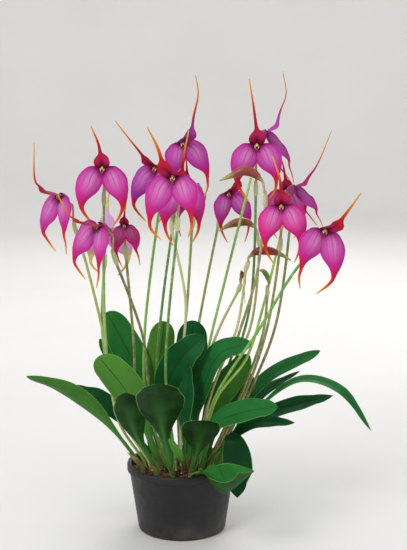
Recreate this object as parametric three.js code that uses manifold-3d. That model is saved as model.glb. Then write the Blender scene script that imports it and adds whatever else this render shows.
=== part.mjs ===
// A flowering Masdevallia-type orchid in a plain pot: a tuft of stalked leaves and wiry stems, each with
// one three-tailed bloom. Millimetres, +Z up, origin at the centre of the pot's underside. The plant's
// front, the side that most blooms face, looks along -Y.
import * as THREE from 'three';
import { mergeVertices } from 'three/addons/utils/BufferGeometryUtils.js';
import Module from 'manifold-3d';

const wasm = await Module();
wasm.setup();

// Driving dimensions of the pot and its mix
const POT_HEIGHT = 78;
const POT_RIM_RADIUS = 63;
const POT_BASE_RADIUS = 50;
const POT_WALL = 2.4;
const POT_SIDES = 28;
const RIM_ROLL = 2.6;
const RIM_DEPTH = 9;
const DRAIN_HOLES = 6;
const DRAIN_RADIUS = 4;
const DRAIN_CIRCLE = 33;
const DRAIN_SIDES = 6;
const MIX_TOP = 70;
const MIX_RELIEF = 1.1;
const MIX_WAVES = [7, 9];
const MIX_RINGS = 2;

// Driving dimensions of the shoots
const FIT = 0.3;
const ROOT_LENGTH = 14;
const COLLAR_HEIGHT = 9;
const CLUMP_RADIUS = 47;
const STEM_RADIUS = 1.4;
const STEM_SIDES = 5;
const RING_SPACING = 80;
const PEDICEL_RADIUS = 1;
const BRACT_RADIUS = 2.2;
const BRACT_LENGTH = 15;
const SHEATH_RADIUS = 2.9;
const SHEATH_DEPTH = 4.4;
const SHEATH_WALL = 0.7;
const PEDICEL_END = 5;
const STEM_HOLE = { room: 3.2, radius: 2.4 };
const LEAF_HOLE = { room: 5.6, radius: 4.7 };
const HOLE_SIDES = 6;
const SPREAD_ROUNDS = 300;
const BUD_SIDES = 7;

// Driving dimensions of a bloom of size 1
const TUBE_MOUTH_RADIUS = 6.4;
const TUBE_FOOT_RADIUS = 1.9;
const TUBE_FOOT = [0, 14, -7];
const TUBE_DROP = [0, 0.8, -0.6];
const TUBE_LINE = [[0, -0.5, 0], [0, 6, -1.5], TUBE_FOOT];
const TUBE_RADII = [TUBE_MOUTH_RADIUS, 5, TUBE_FOOT_RADIUS];
const TUBE_SIDES = 6;
const THROAT_DEPTH = 3;
const COLUMN_LINE = [[0, 4, 0.6], [0, -1.5, 0.2]];
const COLUMN_RADII = [2, 1.5];
const COLUMN_SIDES = 4;
const LATERAL_ROOT = [4.5, 2.5, 2];
const DORSAL_ROOT = [0, 2.5, 2];
const TAIL_BOW = 1.5;

// The middle line of a plain right lateral blade below its root. Its last point is the blade's tip.
const LATERAL_LINE = [
  [10.5, -2, -5.5],
  [14.5, -5, -15.5],
  [18.8, -7, -24.5],
  [21, -8, -31.5],
  [21.8, -8, -40.5],
];

// Blades as [half width, thickness, lift of the margins], evenly spaced from base to tip
const LATERAL_SECTIONS = [
  [3, 1.1, 0],
  [10, 1.1, -2],
  [13.6, 1.1, -3],
  [10.6, 1.2, -2.4],
  [4.8, 1.3, -1],
  [1.9, 1.5, -0.2],
  [1.3, 1.4, 0],
  [0.6, 1.1, 0],
];
const DORSAL_SECTIONS = [
  [5, 1.2, 0],
  [8.6, 1.2, 3],
  [5.2, 1.5, 1.6],
  [1.7, 1.6, 0.2],
  [1.5, 1.5, 0],
  [1.1, 1.3, 0],
  [0.6, 1.1, 0],
];
// A leaf's sections above the mix, with half widths and lifts as shares of its blade's half width
const LEAF_SECTIONS = [
  [0.15, 3.4, 0.04],
  [0.16, 2.7, 0.06],
  [0.34, 2.2, 0.12],
  [0.7, 1.9, 0.18],
  [0.95, 1.7, 0.2],
  [1, 1.6, 0.18],
  [0.78, 1.4, 0.12],
  [0.22, 1.1, 0.02],
];

// The last two half widths of a leaf whose end is blunter or sharper than that, again as shares
const LEAF_TIPS = {
  round: [0.92, 0.42],
  sharp: [0.6, 0.12],
};

// Each flower. at is the throat's place. turn, nod and roll are degrees: turned to the right, nodding,
// leaning to the right. Points inside a bloom are [right, back, up] from its throat at size 1: the ends of
// the two lateral blades, the ends of their tails, then the hood's lip, bend and tip of the upper tail.
// reach is how far the lateral blades come forward. stem runs from low to high, up to the bract's joint.
const FLOWERS = [
  {
    at: [-135, -10, 385], turn: -47, size: 1,
    tips: [[-20, -40], [18, -40]], tails: [[6, -10, -59], [25, -10, -60]],
    hood: [0, -19, 9], bend: [0, -31, 20], tip: [0, -32, 62],
    stem: [[-72, 1, 124], [-89, 1, 229], [-109, 2, 316], [-117, 2, 342]],
  },
  {
    at: [-84, -45, 419], turn: 0, size: 1,
    tails: [[-7, -10, -61], [11, -10, -61]],
    bend: [-3, -14, 30], tip: [-10.5, -10, 47.5],
    stem: [[-75, -11, 146], [-85, -17, 229], [-84, -26, 380]],
  },
  {
    at: [-88, -70, 360], turn: -50, size: 1.1,
    tips: [[-29, -37], [12, -39]], tails: [[-7, -10, -51], [11, -10, -57]],
    hood: [0, -20, 7], bend: [0, -32, 14], tip: [0, -45, 35],
    stem: [[-35, -28, 162], [-42, -42, 235], [-69, -57, 319]],
  },
  {
    at: [-85, 25, 343], turn: 180, size: 1,
    tips: [[-23, -36], [19.6, -38]], tails: [[-11, -10, -54], [10, -10, -51]],
    bend: [0, -14, 28], tip: [-3, -12, 46],
    stem: [[-70, 4, 134], [-90, 5, 225], [-87, 7, 304]],
  },
  {
    at: [-62, -25, 354.5], turn: 0, size: 0.62, reach: 13,
    tips: [[-14, -42], [20, -38]], tails: [[-3, -14, -72], [28, -14, -68]],
    bend: [2, -12, 32], tip: [7, -10, 56],
    stem: [[-50, -7, 155], [-54, -10, 226], [-61, -14, 318]],
  },
  {
    at: [-29, 0, 415], turn: -35, size: 1,
    tips: [[-24, -41], [20, -40]], tails: [[-6, -10, -57], [12, -10, -58]],
    hood: [0, -14, 12], bend: [-8, -26, 28], tip: [-27, -36, 55],
    stem: [[-41, 6, 150], [-42, 9, 229], [-24, 15, 375]],
  },
  {
    at: [-7, -85, 413], turn: -17, roll: -3, size: 1.1,
    tips: [[-23, -44], [18.6, -38]], tails: [[-11.5, -10, -57], [15.5, -10, -55]],
    hood: [-4, -12, 13], bend: [-8, -18, 33], tip: [-14, -25, 51],
    stem: [[-17, -34, 186], [-14, -46, 250], [-3, -66, 357]],
  },
  {
    at: [1, -38, 400], turn: 5, size: 1,
    tips: [[-18.4, -41], [18.4, -41]], tails: [[-10, -10, -63], [11, -10, -60]],
    bend: [2, -14, 36], tip: [7.6, -8, 61],
    stem: [[-1, 2, 180], [5, -8, 267], [-10, -20, 350]],
  },
  {
    at: [1, 32, 440], turn: 25, size: 1,
    tips: [[-14, -37], [28, -42]], tails: [[-5, -10, -56], [23, -10, -59]],
    hood: [3.7, -13, 13], bend: [12, -17, 58], tip: [12, -10, 78],
    stem: [[-29, 20, 168], [-22, 31, 261], [-2, 48, 402]],
  },
  {
    at: [83, -25, 442], turn: 0, size: 1.05,
    tips: [[-20, -36], [20, -38]], tails: [[-8, -10, -56], [13, -10, -53]],
    bend: [-4, -14, 41], tip: [-8.5, -6, 70],
    stem: [[57, -3, 184], [78, -4, 265], [83, -6, 388]],
  },
  {
    at: [98, 38, 452], turn: 104, size: 1, reach: 20,
    tips: [[-19, -36], [19, -38]], tails: [[-11, -28, -55], [11, -34, -60]],
    hood: [0, -8, 10], bend: [0, -21, 44], tip: [0, -17, 70],
    stem: [[29, 14, 199], [51, 21, 292], [83, 30, 420]],
  },
  {
    at: [54, 58, 380], turn: 25, size: 0.85,
    tips: [[-15, -42], [27, -40]], tails: [[-6, -10, -64], [20, -10, -65]],
    hood: [6, -13, 15], bend: [9, -16, 38], tip: [13, -14, 70],
    stem: [[9, 32, 152], [20, 49, 232], [42, 72, 341]],
  },
  {
    at: [118, 32, 386], turn: 3, size: 0.85,
    bend: [-4, -14, 34], tip: [-10, -10, 56],
    stem: [[39, -31, 160], [72, -28, 205], [93, 18, 255], [117, 47, 348]],
  },
  {
    at: [108, -62, 380], turn: 0, size: 1,
    tips: [[-17, -40], [20, -36]], tails: [[-8, -10, -59], [14, -10, -58]],
    bend: [-3, -14, 34], tip: [-10.6, -8, 56],
    stem: [[74, -22, 170], [96, -30, 243], [108, -44, 332]],
  },
  {
    at: [153, -80, 356], turn: 12, roll: 14, size: 1.05,
    tips: [[-17, -42], [18, -44]], tails: [[-13.7, -10, -60], [4, -10, -62]],
    hood: [7, -12, 11], bend: [14, -20, 33], tip: [20, -20, 48],
    stem: [[38, -42, 165], [85, -60, 246], [125, -63, 314], [147, -62, 338]],
  },
  {
    at: [128, -5, 394], turn: 106, size: 0.95, reach: 19,
    tips: [[-18, -28], [18, -28]], tails: [[-10, -30, -44], [11, -31, -46]],
    hood: [0, -8, 7], bend: [0, -25, 27], tip: [0, -43, 67],
    stem: [[84, -4, 176], [107, -8, 243], [121, -12, 356]],
  },
  {
    at: [12, 62, 389], turn: -118, size: 0.95,
    stem: [[-5, 30, 160], [5, 38, 243], [12, 50, 344]],
  },
];

// What a flower has where its own row above says nothing
const PLAIN_FLOWER = {
  nod: 0,
  roll: 0,
  reach: 8,
  tips: [[-21.8, -40.5], [21.8, -40.5]],
  tails: [[-11, -10, -61], [11, -10, -61]],
  hood: [0, -6, 14],
  bend: [0, -8, 30],
  tip: [0, -10, 55],
};

// A bud's radius from foot to tip, as shares of its greatest, on a full bud and on a small one
const FULL_BUD = [0.35, 0.85, 1, 0.6, 0.12];
const SMALL_BUD = [0.6, 1, 0.3];

// Each unopened flower on its stem. body runs from the bud's foot to its tip, with its greatest radius.
const BUDS = [
  {
    stem: [[63, -5, 223], [84, -26, 302], [92, -42, 380]],
    body: [[87, -45, 408], [79, -45, 415], [69, -45, 418], [56, -45, 413], [42, -45, 407]],
    radius: 5.6,
  },
  {
    stem: [[44, 24, 158], [79, 31, 228], [89, 36, 326]],
    body: [[83, 36, 346], [75, 36, 351], [65, 36, 351], [53, 36, 347], [43, 36, 341]],
    radius: 5,
  },
  {
    stem: [[35, -30, 171], [63, -20, 242], [72, -20, 306]],
    body: [[77, -20, 321], [84, -20, 326], [95, -20, 327], [108, -20, 324], [122, -20, 316]],
    radius: 5,
  },
  {
    stem: [[19, -8, 165], [42, -9, 235], [64, -10, 280]],
    body: [[67, -10, 294], [68, -10, 299], [67, -9, 303]],
    radius: 2.6,
  },
  {
    stem: [[71, -7, 167], [93, 4, 230], [98, 15, 272]],
    body: [[99, 15, 286], [97, 15, 293], [93, 15, 298], [88, 15, 299]],
    radius: 3.4,
  },
];

// Each leaf runs from low to high. face is the way its upper side looks, width its broadest place, and tip
// says whether its end is round or sharp.
// The leaves of one list grow from one foot.
const LEAF_GROUPS = [
  [
    {
      path: [[-92, -35, 143], [-129, -50, 177], [-169, -60, 194]],
      face: [-0.2, 0.5, 0.85],
      width: 30,
    },
  ],
  [
    {
      path: [[-42, 22, 133], [-56, 26, 187], [-87, 32, 247]],
      face: [0.3, -0.9, 0.35],
      width: 38,
      tip: 'round',
    },
  ],
  [
    { path: [[-76, 42, 178], [-97, 46, 212]], face: [0.5, -0.6, 0.6], width: 26 },
    { path: [[-84, 22, 136], [-131, 30, 160]], face: [-0.3, -0.45, 0.85], width: 26, tip: 'sharp' },
  ],
  [{ path: [[-56, -31, 162], [-91, -36, 211]], face: [0.2, 0.95, 0.25], width: 42, tip: 'round' }],
  [{ path: [[-27, 32, 166], [-21, 38, 235]], face: [-0.1, 0.97, 0.2], width: 33, tip: 'round' }],
  [{ path: [[-17, -14, 165], [-2, -22, 203], [26, -27, 232]], face: [0.2, -0.75, 0.6], width: 36 }],
  [{ path: [[9, 12, 165], [13, 18, 240]], face: [0, -0.95, 0.3], width: 38, tip: 'round' }],
  [{ path: [[-20, -75, 143], [-20, -150, 209]], face: [0, 0.6, 0.8], width: 52 }],
  [{ path: [[-50, -55, 127], [-58, -103, 187]], face: [0, 0.7, 0.7], width: 34 }],
  [
    { path: [[5, -38, 137], [10, -34, 201]], face: [-0.75, -0.65, 0.1], width: 26, tip: 'sharp' },
    { path: [[-2, -58, 102], [-12, -74, 128]], face: [0.3, 0.9, 0.3], width: 11 },
  ],
  [
    { path: [[25, -24, 172], [45, -34, 214], [79, -38, 226]], face: [-0.3, -0.5, 0.8], width: 38 },
    { path: [[36, -14, 147], [76, -20, 209]], face: [0.4, 0.6, 0.5], width: 30 },
  ],
  [
    { path: [[50, 12, 139], [79, 18, 178]], face: [-0.35, -0.8, 0.5], width: 38, tip: 'round' },
    { path: [[102, 20, 128], [176, 25, 149]], face: [-0.2, -0.5, 0.8], width: 24, tip: 'sharp' },
  ],
  [
    { path: [[38, -45, 134], [71, -60, 154], [106, -70, 162]], face: [0, -0.6, 0.8], width: 32 },
    { path: [[78, -30, 130], [127, -42, 136]], face: [0, -0.5, 0.85], width: 20, tip: 'sharp' },
  ],
  [
    { path: [[94, 40, 161], [162, 45, 198]], face: [-0.3, -0.5, 0.8], width: 22 },
    { path: [[95, 65, 139], [141, 75, 166]], face: [-0.3, -0.4, 0.85], width: 16, tip: 'sharp' },
  ],
  [
    {
      path: [[92, -5, 146], [136, -10, 177], [179, -18, 167], [215, -25, 121]],
      face: [0, -0.3, 0.95],
      width: 17,
      tip: 'sharp',
    },
  ],
  [
    { path: [[19, -65, 115], [24, -115, 160]], face: [0, 0.6, 0.8], width: 42, tip: 'round' },
    {
      path: [[30, -80, 90], [50, -102, 87], [80, -96, 98]],
      face: [0, -0.8, 0.6],
      width: 36,
      tip: 'sharp',
    },
  ],
  [
    {
      path: [[57, -48, 118], [61, -68, 104], [62, -80, 62]],
      face: [0.2, -0.85, 0.5],
      width: 34,
      tip: 'sharp',
    },
  ],
  [
    { path: [[-34, 95, 131], [-42, 140, 164]], face: [0, -0.5, 0.85], width: 32 },
    { path: [[-64, 80, 116], [-78, 110, 127]], face: [0, -0.5, 0.85], width: 30 },
  ],
  [
    { path: [[18, 95, 131], [27, 140, 170]], face: [0, -0.5, 0.85], width: 32 },
    { path: [[57, 90, 126], [76, 120, 137]], face: [0, -0.5, 0.85], width: 30 },
  ],
];

const COLOURS = {
  pot: 0x17171a,
  mix: 0x5a4632,
  stem: 0x7f9a3f,
  bloom: 0xb8328e,
  leaf: 0x2c6b35,
};

const plant = new THREE.Group();

function vector([x, y, z]) {
  return new THREE.Vector3(x, y, z);
}

// A geometry as a solid that can be joined and cut
function solidOf(geometry) {
  const bare = geometry.clone();
  bare.deleteAttribute('normal');
  bare.deleteAttribute('uv');
  const merged = mergeVertices(bare, 1e-3);
  return new wasm.Manifold(
    new wasm.Mesh({
      numProp: 3,
      vertProperties: merged.attributes.position.array,
      triVerts: new Uint32Array(merged.index.array),
    }),
  );
}

function geometryOf(solid) {
  const { vertProperties, triVerts } = solid.getMesh();
  const geometry = new THREE.BufferGeometry();
  geometry.setAttribute('position', new THREE.BufferAttribute(vertProperties, 3));
  geometry.setIndex(new THREE.BufferAttribute(triVerts, 1));
  return geometry;
}

function addPiece(name, solid, color, roughness) {
  const material = new THREE.MeshStandardMaterial({ color, roughness, metalness: 0 });
  const mesh = new THREE.Mesh(geometryOf(solid), material);
  mesh.name = name;
  plant.add(mesh);
  return mesh;
}

// A closed body through rings of points. The first half of a blade's ring is its face and the second half
// its back, in reverse, so turned marks the strips whose quads split the other way. Both faces of a
// blade are then split alike. dish sets the middle of the first ring back, as in a shallow cup.
function loft(rings, turned = () => false, dish = null) {
  const size = rings[0].length;
  const last = rings.length - 1;
  const centre = (ring) => ring.reduce((sum, p) => sum.add(p), new THREE.Vector3()).divideScalar(size);
  const points = rings.flat();
  points.push(dish ?? centre(rings[0]), centre(rings[last]));
  const faces = [];
  for (let i = 0; i < last; i++) {
    for (let k = 0; k < size; k++) {
      const a = i * size + k;
      const b = i * size + ((k + 1) % size);
      const c = b + size;
      const d = a + size;
      if (turned(k)) faces.push(a, b, c, a, c, d);
      else faces.push(a, b, d, b, c, d);
    }
  }
  for (let k = 0; k < size; k++) {
    const next = (k + 1) % size;
    faces.push(points.length - 2, next, k);
    faces.push(points.length - 1, last * size + k, last * size + next);
  }
  const geometry = new THREE.BufferGeometry().setFromPoints(points);
  geometry.setIndex(faces);
  return solidOf(geometry);
}

// A list of values read between its entries, from 0 at its start to 1 at its end
function between(values, t) {
  const place = Math.min(Math.max(t, 0), 1) * (values.length - 1);
  const low = Math.min(Math.floor(place), values.length - 2);
  return THREE.MathUtils.lerp(values[low], values[low + 1], place - low);
}

// A round stalk through points, with a radius at each. Long stretches get rings between the points.
function stalk(points, radii, sides, dish = null) {
  const curve = new THREE.CatmullRomCurve3(points);
  const spans = points.length - 1;
  const rings = [];
  let normal = null;
  for (let k = 0; k <= spans; k++) {
    const length = k < spans ? points[k].distanceTo(points[k + 1]) : 0;
    const parts = k < spans ? Math.max(1, Math.round(length / RING_SPACING)) : 1;
    for (let part = 0; part < parts; part++) {
      const t = (k + part / parts) / spans;
      const along = curve.getTangent(t);
      normal ??= new THREE.Vector3(Math.abs(along.y) > 0.7 ? 1 : 0, Math.abs(along.y) > 0.7 ? 0 : -1, 0);
      normal.addScaledVector(along, -normal.dot(along)).normalize();
      const side = new THREE.Vector3().crossVectors(along, normal);
      const centre = curve.getPoint(t);
      const radius = between(radii, t);
      const ring = [];
      for (let n = 0; n < sides; n++) {
        const angle = (2 * Math.PI * n) / sides;
        const point = centre.clone();
        point.addScaledVector(normal, radius * Math.cos(angle));
        point.addScaledVector(side, radius * Math.sin(angle));
        ring.push(point);
      }
      rings.push(ring);
    }
  }
  return loft(rings, () => false, dish);
}

// A blade on a curve. face is the way its face looks, or across the way its right edge lies. sections give
// its half width, its thickness and its lift, which raises both margins above the middle. They are spread
// evenly along the curve, from the share of its length that even gives.
function blade({ curve, face, across, even = 0, sections, strips = 2 }) {
  const rings = [];
  const first = even > 0 ? 1 : 0;
  for (let i = 0; i < sections.length; i++) {
    const step = (i - first) / (sections.length - 1 - first);
    const t = i < first ? 0 : even + (1 - even) * step;
    const [half, thick, lift] = sections[i];
    const along = curve.getTangentAt(t);
    const centre = curve.getPointAt(t);
    const side = new THREE.Vector3();
    if (across) side.copy(across).addScaledVector(along, -across.dot(along)).normalize();
    else side.crossVectors(along, face).normalize();
    const up = new THREE.Vector3().crossVectors(side, along);
    const front = [];
    const back = [];
    for (let j = 0; j <= strips; j++) {
      const share = (2 * j) / strips - 1;
      const middle = centre.clone().addScaledVector(side, half * share);
      middle.addScaledVector(up, lift * share * share);
      front.push(middle.clone().addScaledVector(up, thick / 2));
      back.unshift(middle.clone().addScaledVector(up, -thick / 2));
    }
    rings.push([...front, ...back]);
  }
  return loft(rings, (k) => k > strips);
}

// Where the shoots leave the mix: each is drawn toward the way it points, then near ones are pushed apart.
function placeFeet(shoots) {
  const feet = shoots.map(({ low }) => {
    const foot = new THREE.Vector2(low[0], low[1]).multiplyScalar(MIX_TOP / low[2]);
    return foot.clampLength(0, CLUMP_RADIUS);
  });
  for (let round = 0; round < SPREAD_ROUNDS; round++) {
    for (let i = 0; i < feet.length; i++) {
      for (let j = 0; j < i; j++) {
        const apart = feet[i].clone().sub(feet[j]);
        const distance = apart.length();
        const wanted = shoots[i].room + shoots[j].room;
        if (distance >= wanted) continue;
        apart.multiplyScalar((wanted - distance) / 2 / distance);
        feet[i].add(apart).clampLength(0, CLUMP_RADIUS);
        feet[j].sub(apart).clampLength(0, CLUMP_RADIUS);
      }
    }
  }
  return feet;
}

// The lowest points of a shoot: its end in the mix, the surface, and a collar where it starts to lean
function footPoints(foot, low) {
  const collar = new THREE.Vector3(foot.x, foot.y, MIX_TOP + 2);
  const lean = COLLAR_HEIGHT / Math.max(low[2] - MIX_TOP, COLLAR_HEIGHT * 2);
  const rise = vector(low).sub(collar).multiplyScalar(lean * 0.5);
  return [
    new THREE.Vector3(foot.x, foot.y, MIX_TOP - ROOT_LENGTH),
    new THREE.Vector3(foot.x, foot.y, MIX_TOP - 3),
    collar,
    new THREE.Vector3(foot.x + rise.x, foot.y + rise.y, MIX_TOP + COLLAR_HEIGHT),
  ];
}

// Joins solids and keeps the one body that they form
function fuse(solids) {
  return solids.reduce((whole, solid) => whole.add(solid));
}

function pot() {
  const inside = POT_RIM_RADIUS - RIM_ROLL - POT_WALL;
  const outline = [
    [0, 0],
    [POT_BASE_RADIUS, 0],
    [POT_RIM_RADIUS - RIM_ROLL, POT_HEIGHT - RIM_DEPTH],
    [POT_RIM_RADIUS, POT_HEIGHT - RIM_DEPTH],
    [POT_RIM_RADIUS, POT_HEIGHT],
    [inside, POT_HEIGHT],
    [POT_BASE_RADIUS - POT_WALL, POT_WALL],
    [0, POT_WALL],
  ].map(([radius, height]) => new THREE.Vector2(radius, height));
  const turned = new THREE.LatheGeometry(outline, POT_SIDES).rotateX(Math.PI / 2);
  let body = solidOf(turned);
  for (let n = 0; n < DRAIN_HOLES; n++) {
    const angle = (2 * Math.PI * n) / DRAIN_HOLES;
    const drill = new THREE.CylinderGeometry(DRAIN_RADIUS, DRAIN_RADIUS, 4 * POT_WALL, DRAIN_SIDES);
    drill.rotateX(Math.PI / 2);
    drill.translate(DRAIN_CIRCLE * Math.cos(angle), DRAIN_CIRCLE * Math.sin(angle), 0);
    body = body.subtract(solidOf(drill));
  }
  return body;
}

// The radius of the pot's inside at a height
function potInside(height) {
  const low = POT_BASE_RADIUS - POT_WALL;
  const high = POT_RIM_RADIUS - RIM_ROLL - POT_WALL;
  return low + ((high - low) * (height - POT_WALL)) / (POT_HEIGHT - POT_WALL);
}

// The mix fills the pot. Its top is uneven, and each shoot stands in a plain hole in it.
function mix(holes) {
  const floor = POT_WALL + FIT;
  const edge = potInside(MIX_TOP) - 2 * FIT;
  const outline = [
    [0, floor],
    [potInside(floor) - 2 * FIT, floor],
    [edge, MIX_TOP],
  ];
  for (let ring = 1; ring <= MIX_RINGS; ring++) {
    outline.push([edge * (1 - ring / MIX_RINGS), MIX_TOP]);
  }
  const profile = outline.map(([radius, height]) => new THREE.Vector2(radius, height));
  const turned = new THREE.LatheGeometry(profile, POT_SIDES).rotateX(Math.PI / 2);
  const place = turned.attributes.position;
  for (let i = 0; i < place.count; i++) {
    if (place.getZ(i) < MIX_TOP - 1) continue;
    const wave = Math.sin(place.getX(i) / MIX_WAVES[0]) * Math.cos(place.getY(i) / MIX_WAVES[1]);
    place.setZ(i, MIX_TOP + MIX_RELIEF * wave);
  }
  let body = solidOf(turned);
  const depth = ROOT_LENGTH + FIT;
  for (const { foot, radius } of holes) {
    const drill = new THREE.CylinderGeometry(radius, radius, 2 * depth, HOLE_SIDES);
    drill.rotateX(Math.PI / 2);
    drill.translate(foot.x, foot.y, MIX_TOP);
    body = body.subtract(solidOf(drill));
  }
  return body;
}

// A lateral sepal: a broad cambered blade from the throat, drawn out into a tail. hand is -1 for the left.
function lateralSepal(hand, [tipX, tipZ], tail, reach) {
  const root = vector(LATERAL_ROOT).multiply(new THREE.Vector3(hand, 1, 1));
  const tip = new THREE.Vector3(tipX, -reach, tipZ);
  const stretch = tip.clone().divide(vector(LATERAL_LINE.at(-1)));
  const line = LATERAL_LINE.map((point) => vector(point).multiply(stretch));
  const end = vector(tail);
  const midway = tip.lerp(end, 0.38).add(new THREE.Vector3(hand * TAIL_BOW, 0, 0));
  return blade({
    curve: new THREE.CatmullRomCurve3([root, ...line, midway, end]),
    face: new THREE.Vector3(0, -1, 0),
    sections: LATERAL_SECTIONS,
  });
}

// The dorsal sepal: a hood over the throat, drawn out into the upper tail
function dorsalSepal({ hood, bend, tip }) {
  const lip = vector(hood);
  const turnPoint = vector(bend);
  return blade({
    curve: new THREE.CatmullRomCurve3([
      vector(DORSAL_ROOT),
      lip.clone().multiplyScalar(0.5).add(new THREE.Vector3(0, 0, 2)),
      lip,
      lip.clone().lerp(turnPoint, 0.4),
      turnPoint,
      vector(tip),
    ]),
    across: new THREE.Vector3(1, 0, 0),
    sections: DORSAL_SECTIONS,
  });
}

// The sepals grow together into a tube behind the throat, and the short column stands in it.
function bloom(flower) {
  const throat = new THREE.Vector3(0, THROAT_DEPTH, 0);
  const tube = stalk(TUBE_LINE.map(vector), TUBE_RADII, TUBE_SIDES, throat);
  const column = stalk(COLUMN_LINE.map(vector), COLUMN_RADII, COLUMN_SIDES);
  const left = lateralSepal(-1, flower.tips[0], flower.tails[0], flower.reach);
  const right = lateralSepal(1, flower.tips[1], flower.tails[1], flower.reach);
  return fuse([tube, left, right, dorsalSepal(flower), column]);
}

// How a bloom stands: leaned, then nodded, then turned, and set at its throat's place
function bloomFrame({ at, turn, nod, roll, size }) {
  const rad = THREE.MathUtils.degToRad;
  const turned = new THREE.Quaternion().setFromEuler(new THREE.Euler(rad(nod), rad(roll), rad(turn), 'ZXY'));
  return new THREE.Matrix4().compose(vector(at), turned, new THREE.Vector3(size, size, size));
}

// A scape's points and radii: foot, stem, joint, bract and pedicel, up to an end reached along a way
function scape(foot, stem, end, way) {
  const joint = vector(stem.at(-1));
  const below = vector(stem.at(-2));
  const climb = joint.clone().sub(below).normalize();
  const toEnd = end.clone().sub(joint);
  const bractTop = climb.lerp(toEnd.clone().normalize(), 0.5).normalize();
  bractTop.multiplyScalar(Math.min(BRACT_LENGTH, toEnd.length() * 0.55)).add(joint);
  const approach = end.clone().addScaledVector(way, PEDICEL_END);
  const swell = joint.clone().lerp(bractTop, 0.15);
  const mouth = bractTop.clone().lerp(approach, 0.12);
  const feet = footPoints(foot, stem[0]);
  const points = [...feet, ...stem.slice(0, -1).map(vector), joint, swell, bractTop, mouth, approach, end];
  const radii = [
    ...feet.map(() => STEM_RADIUS + 0.2),
    ...stem.map(() => STEM_RADIUS),
    BRACT_RADIUS,
    BRACT_RADIUS,
    PEDICEL_RADIUS,
    PEDICEL_RADIUS,
    PEDICEL_RADIUS,
  ];
  return stalk(points, radii, STEM_SIDES);
}

function bud({ body, radius }) {
  const points = body.map(vector);
  const swell = points.length > SMALL_BUD.length ? FULL_BUD : SMALL_BUD;
  const radii = points.map((_, i) => radius * between(swell, i / (points.length - 1)));
  return stalk(points, radii, BUD_SIDES);
}

// A leaf from its foot in the mix: sheath, channelled stalk, then a blade broadest past its middle. A leaf
// that shares a foot starts inside the first one's sheath.
function leaf(foot, { path, face, width, tip }, shared) {
  const half = width / 2;
  const start = footPoints(foot, path[0]).slice(shared ? 2 : 0);
  const curve = new THREE.CatmullRomCurve3([...start, ...path.map(vector)]);
  const above = LEAF_SECTIONS.map(([wide, thick, lift], i) => {
    const ending = i - LEAF_SECTIONS.length + 2;
    const share = tip && ending >= 0 ? LEAF_TIPS[tip][ending] : wide;
    return [half * share, thick, half * lift];
  });
  const inset = shared ? SHEATH_WALL : 0;
  const collar = [SHEATH_RADIUS - inset, SHEATH_DEPTH - inset, 0];
  return blade({
    curve,
    face: vector(face).normalize(),
    even: shared ? 0 : (ROOT_LENGTH + 2) / curve.getLength(),
    sections: shared ? [collar, ...above] : [collar, collar, ...above],
  });
}

// Shoots in the order of their tables: flowers, buds, leaf groups
const shoots = [
  ...FLOWERS.map(({ stem }) => ({ low: stem[0], ...STEM_HOLE })),
  ...BUDS.map(({ stem }) => ({ low: stem[0], ...STEM_HOLE })),
  ...LEAF_GROUPS.map(([first]) => ({ low: first.path[0], ...LEAF_HOLE })),
];
const feet = placeFeet(shoots);
const label = (number) => String(number + 1).padStart(2, '0');

addPiece('pot', pot(), COLOURS.pot, 0.6);
addPiece('potting_mix', mix(shoots.map(({ radius }, i) => ({ foot: feet[i], radius }))), COLOURS.mix, 0.95);

FLOWERS.forEach((row, i) => {
  const flower = { ...PLAIN_FLOWER, ...row };
  const frame = bloomFrame(flower);
  const mesh = addPiece(`bloom_${label(i)}`, bloom(flower), COLOURS.bloom, 0.45);
  frame.decompose(mesh.position, mesh.quaternion, mesh.scale);
  const way = vector(TUBE_DROP).transformDirection(frame);
  const end = vector(TUBE_FOOT).applyMatrix4(frame).addScaledVector(way, 2 * FIT);
  addPiece(`scape_${label(i)}`, scape(feet[i], flower.stem, end, way), COLOURS.stem, 0.5);
});

BUDS.forEach((row, i) => {
  const [start, next] = row.body.map(vector);
  const way = start.clone().sub(next).normalize();
  const end = start.clone().lerp(next, 0.3);
  const stem = scape(feet[FLOWERS.length + i], row.stem, end, way);
  addPiece(`bud_scape_${label(i)}`, fuse([stem, bud(row)]), COLOURS.stem, 0.5);
});

LEAF_GROUPS.forEach((group, i) => {
  const foot = feet[FLOWERS.length + BUDS.length + i];
  addPiece(`leaf_${label(i)}`, fuse(group.map((row, n) => leaf(foot, row, n > 0))), COLOURS.leaf, 0.4);
});

export default plant;
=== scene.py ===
import math
import random

import bmesh
import bpy
import numpy as np
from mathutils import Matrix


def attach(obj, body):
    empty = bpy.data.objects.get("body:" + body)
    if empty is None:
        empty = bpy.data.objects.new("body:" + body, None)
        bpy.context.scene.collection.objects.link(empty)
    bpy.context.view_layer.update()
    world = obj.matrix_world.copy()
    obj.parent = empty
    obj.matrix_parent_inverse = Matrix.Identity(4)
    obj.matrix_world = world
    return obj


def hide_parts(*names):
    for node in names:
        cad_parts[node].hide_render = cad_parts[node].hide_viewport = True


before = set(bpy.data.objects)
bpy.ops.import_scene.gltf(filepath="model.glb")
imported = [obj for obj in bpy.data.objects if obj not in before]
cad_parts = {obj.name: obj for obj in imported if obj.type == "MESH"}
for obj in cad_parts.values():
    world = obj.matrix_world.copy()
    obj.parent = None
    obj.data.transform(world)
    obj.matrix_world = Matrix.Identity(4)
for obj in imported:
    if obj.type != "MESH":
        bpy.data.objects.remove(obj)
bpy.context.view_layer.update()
MM = 0.001

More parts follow.
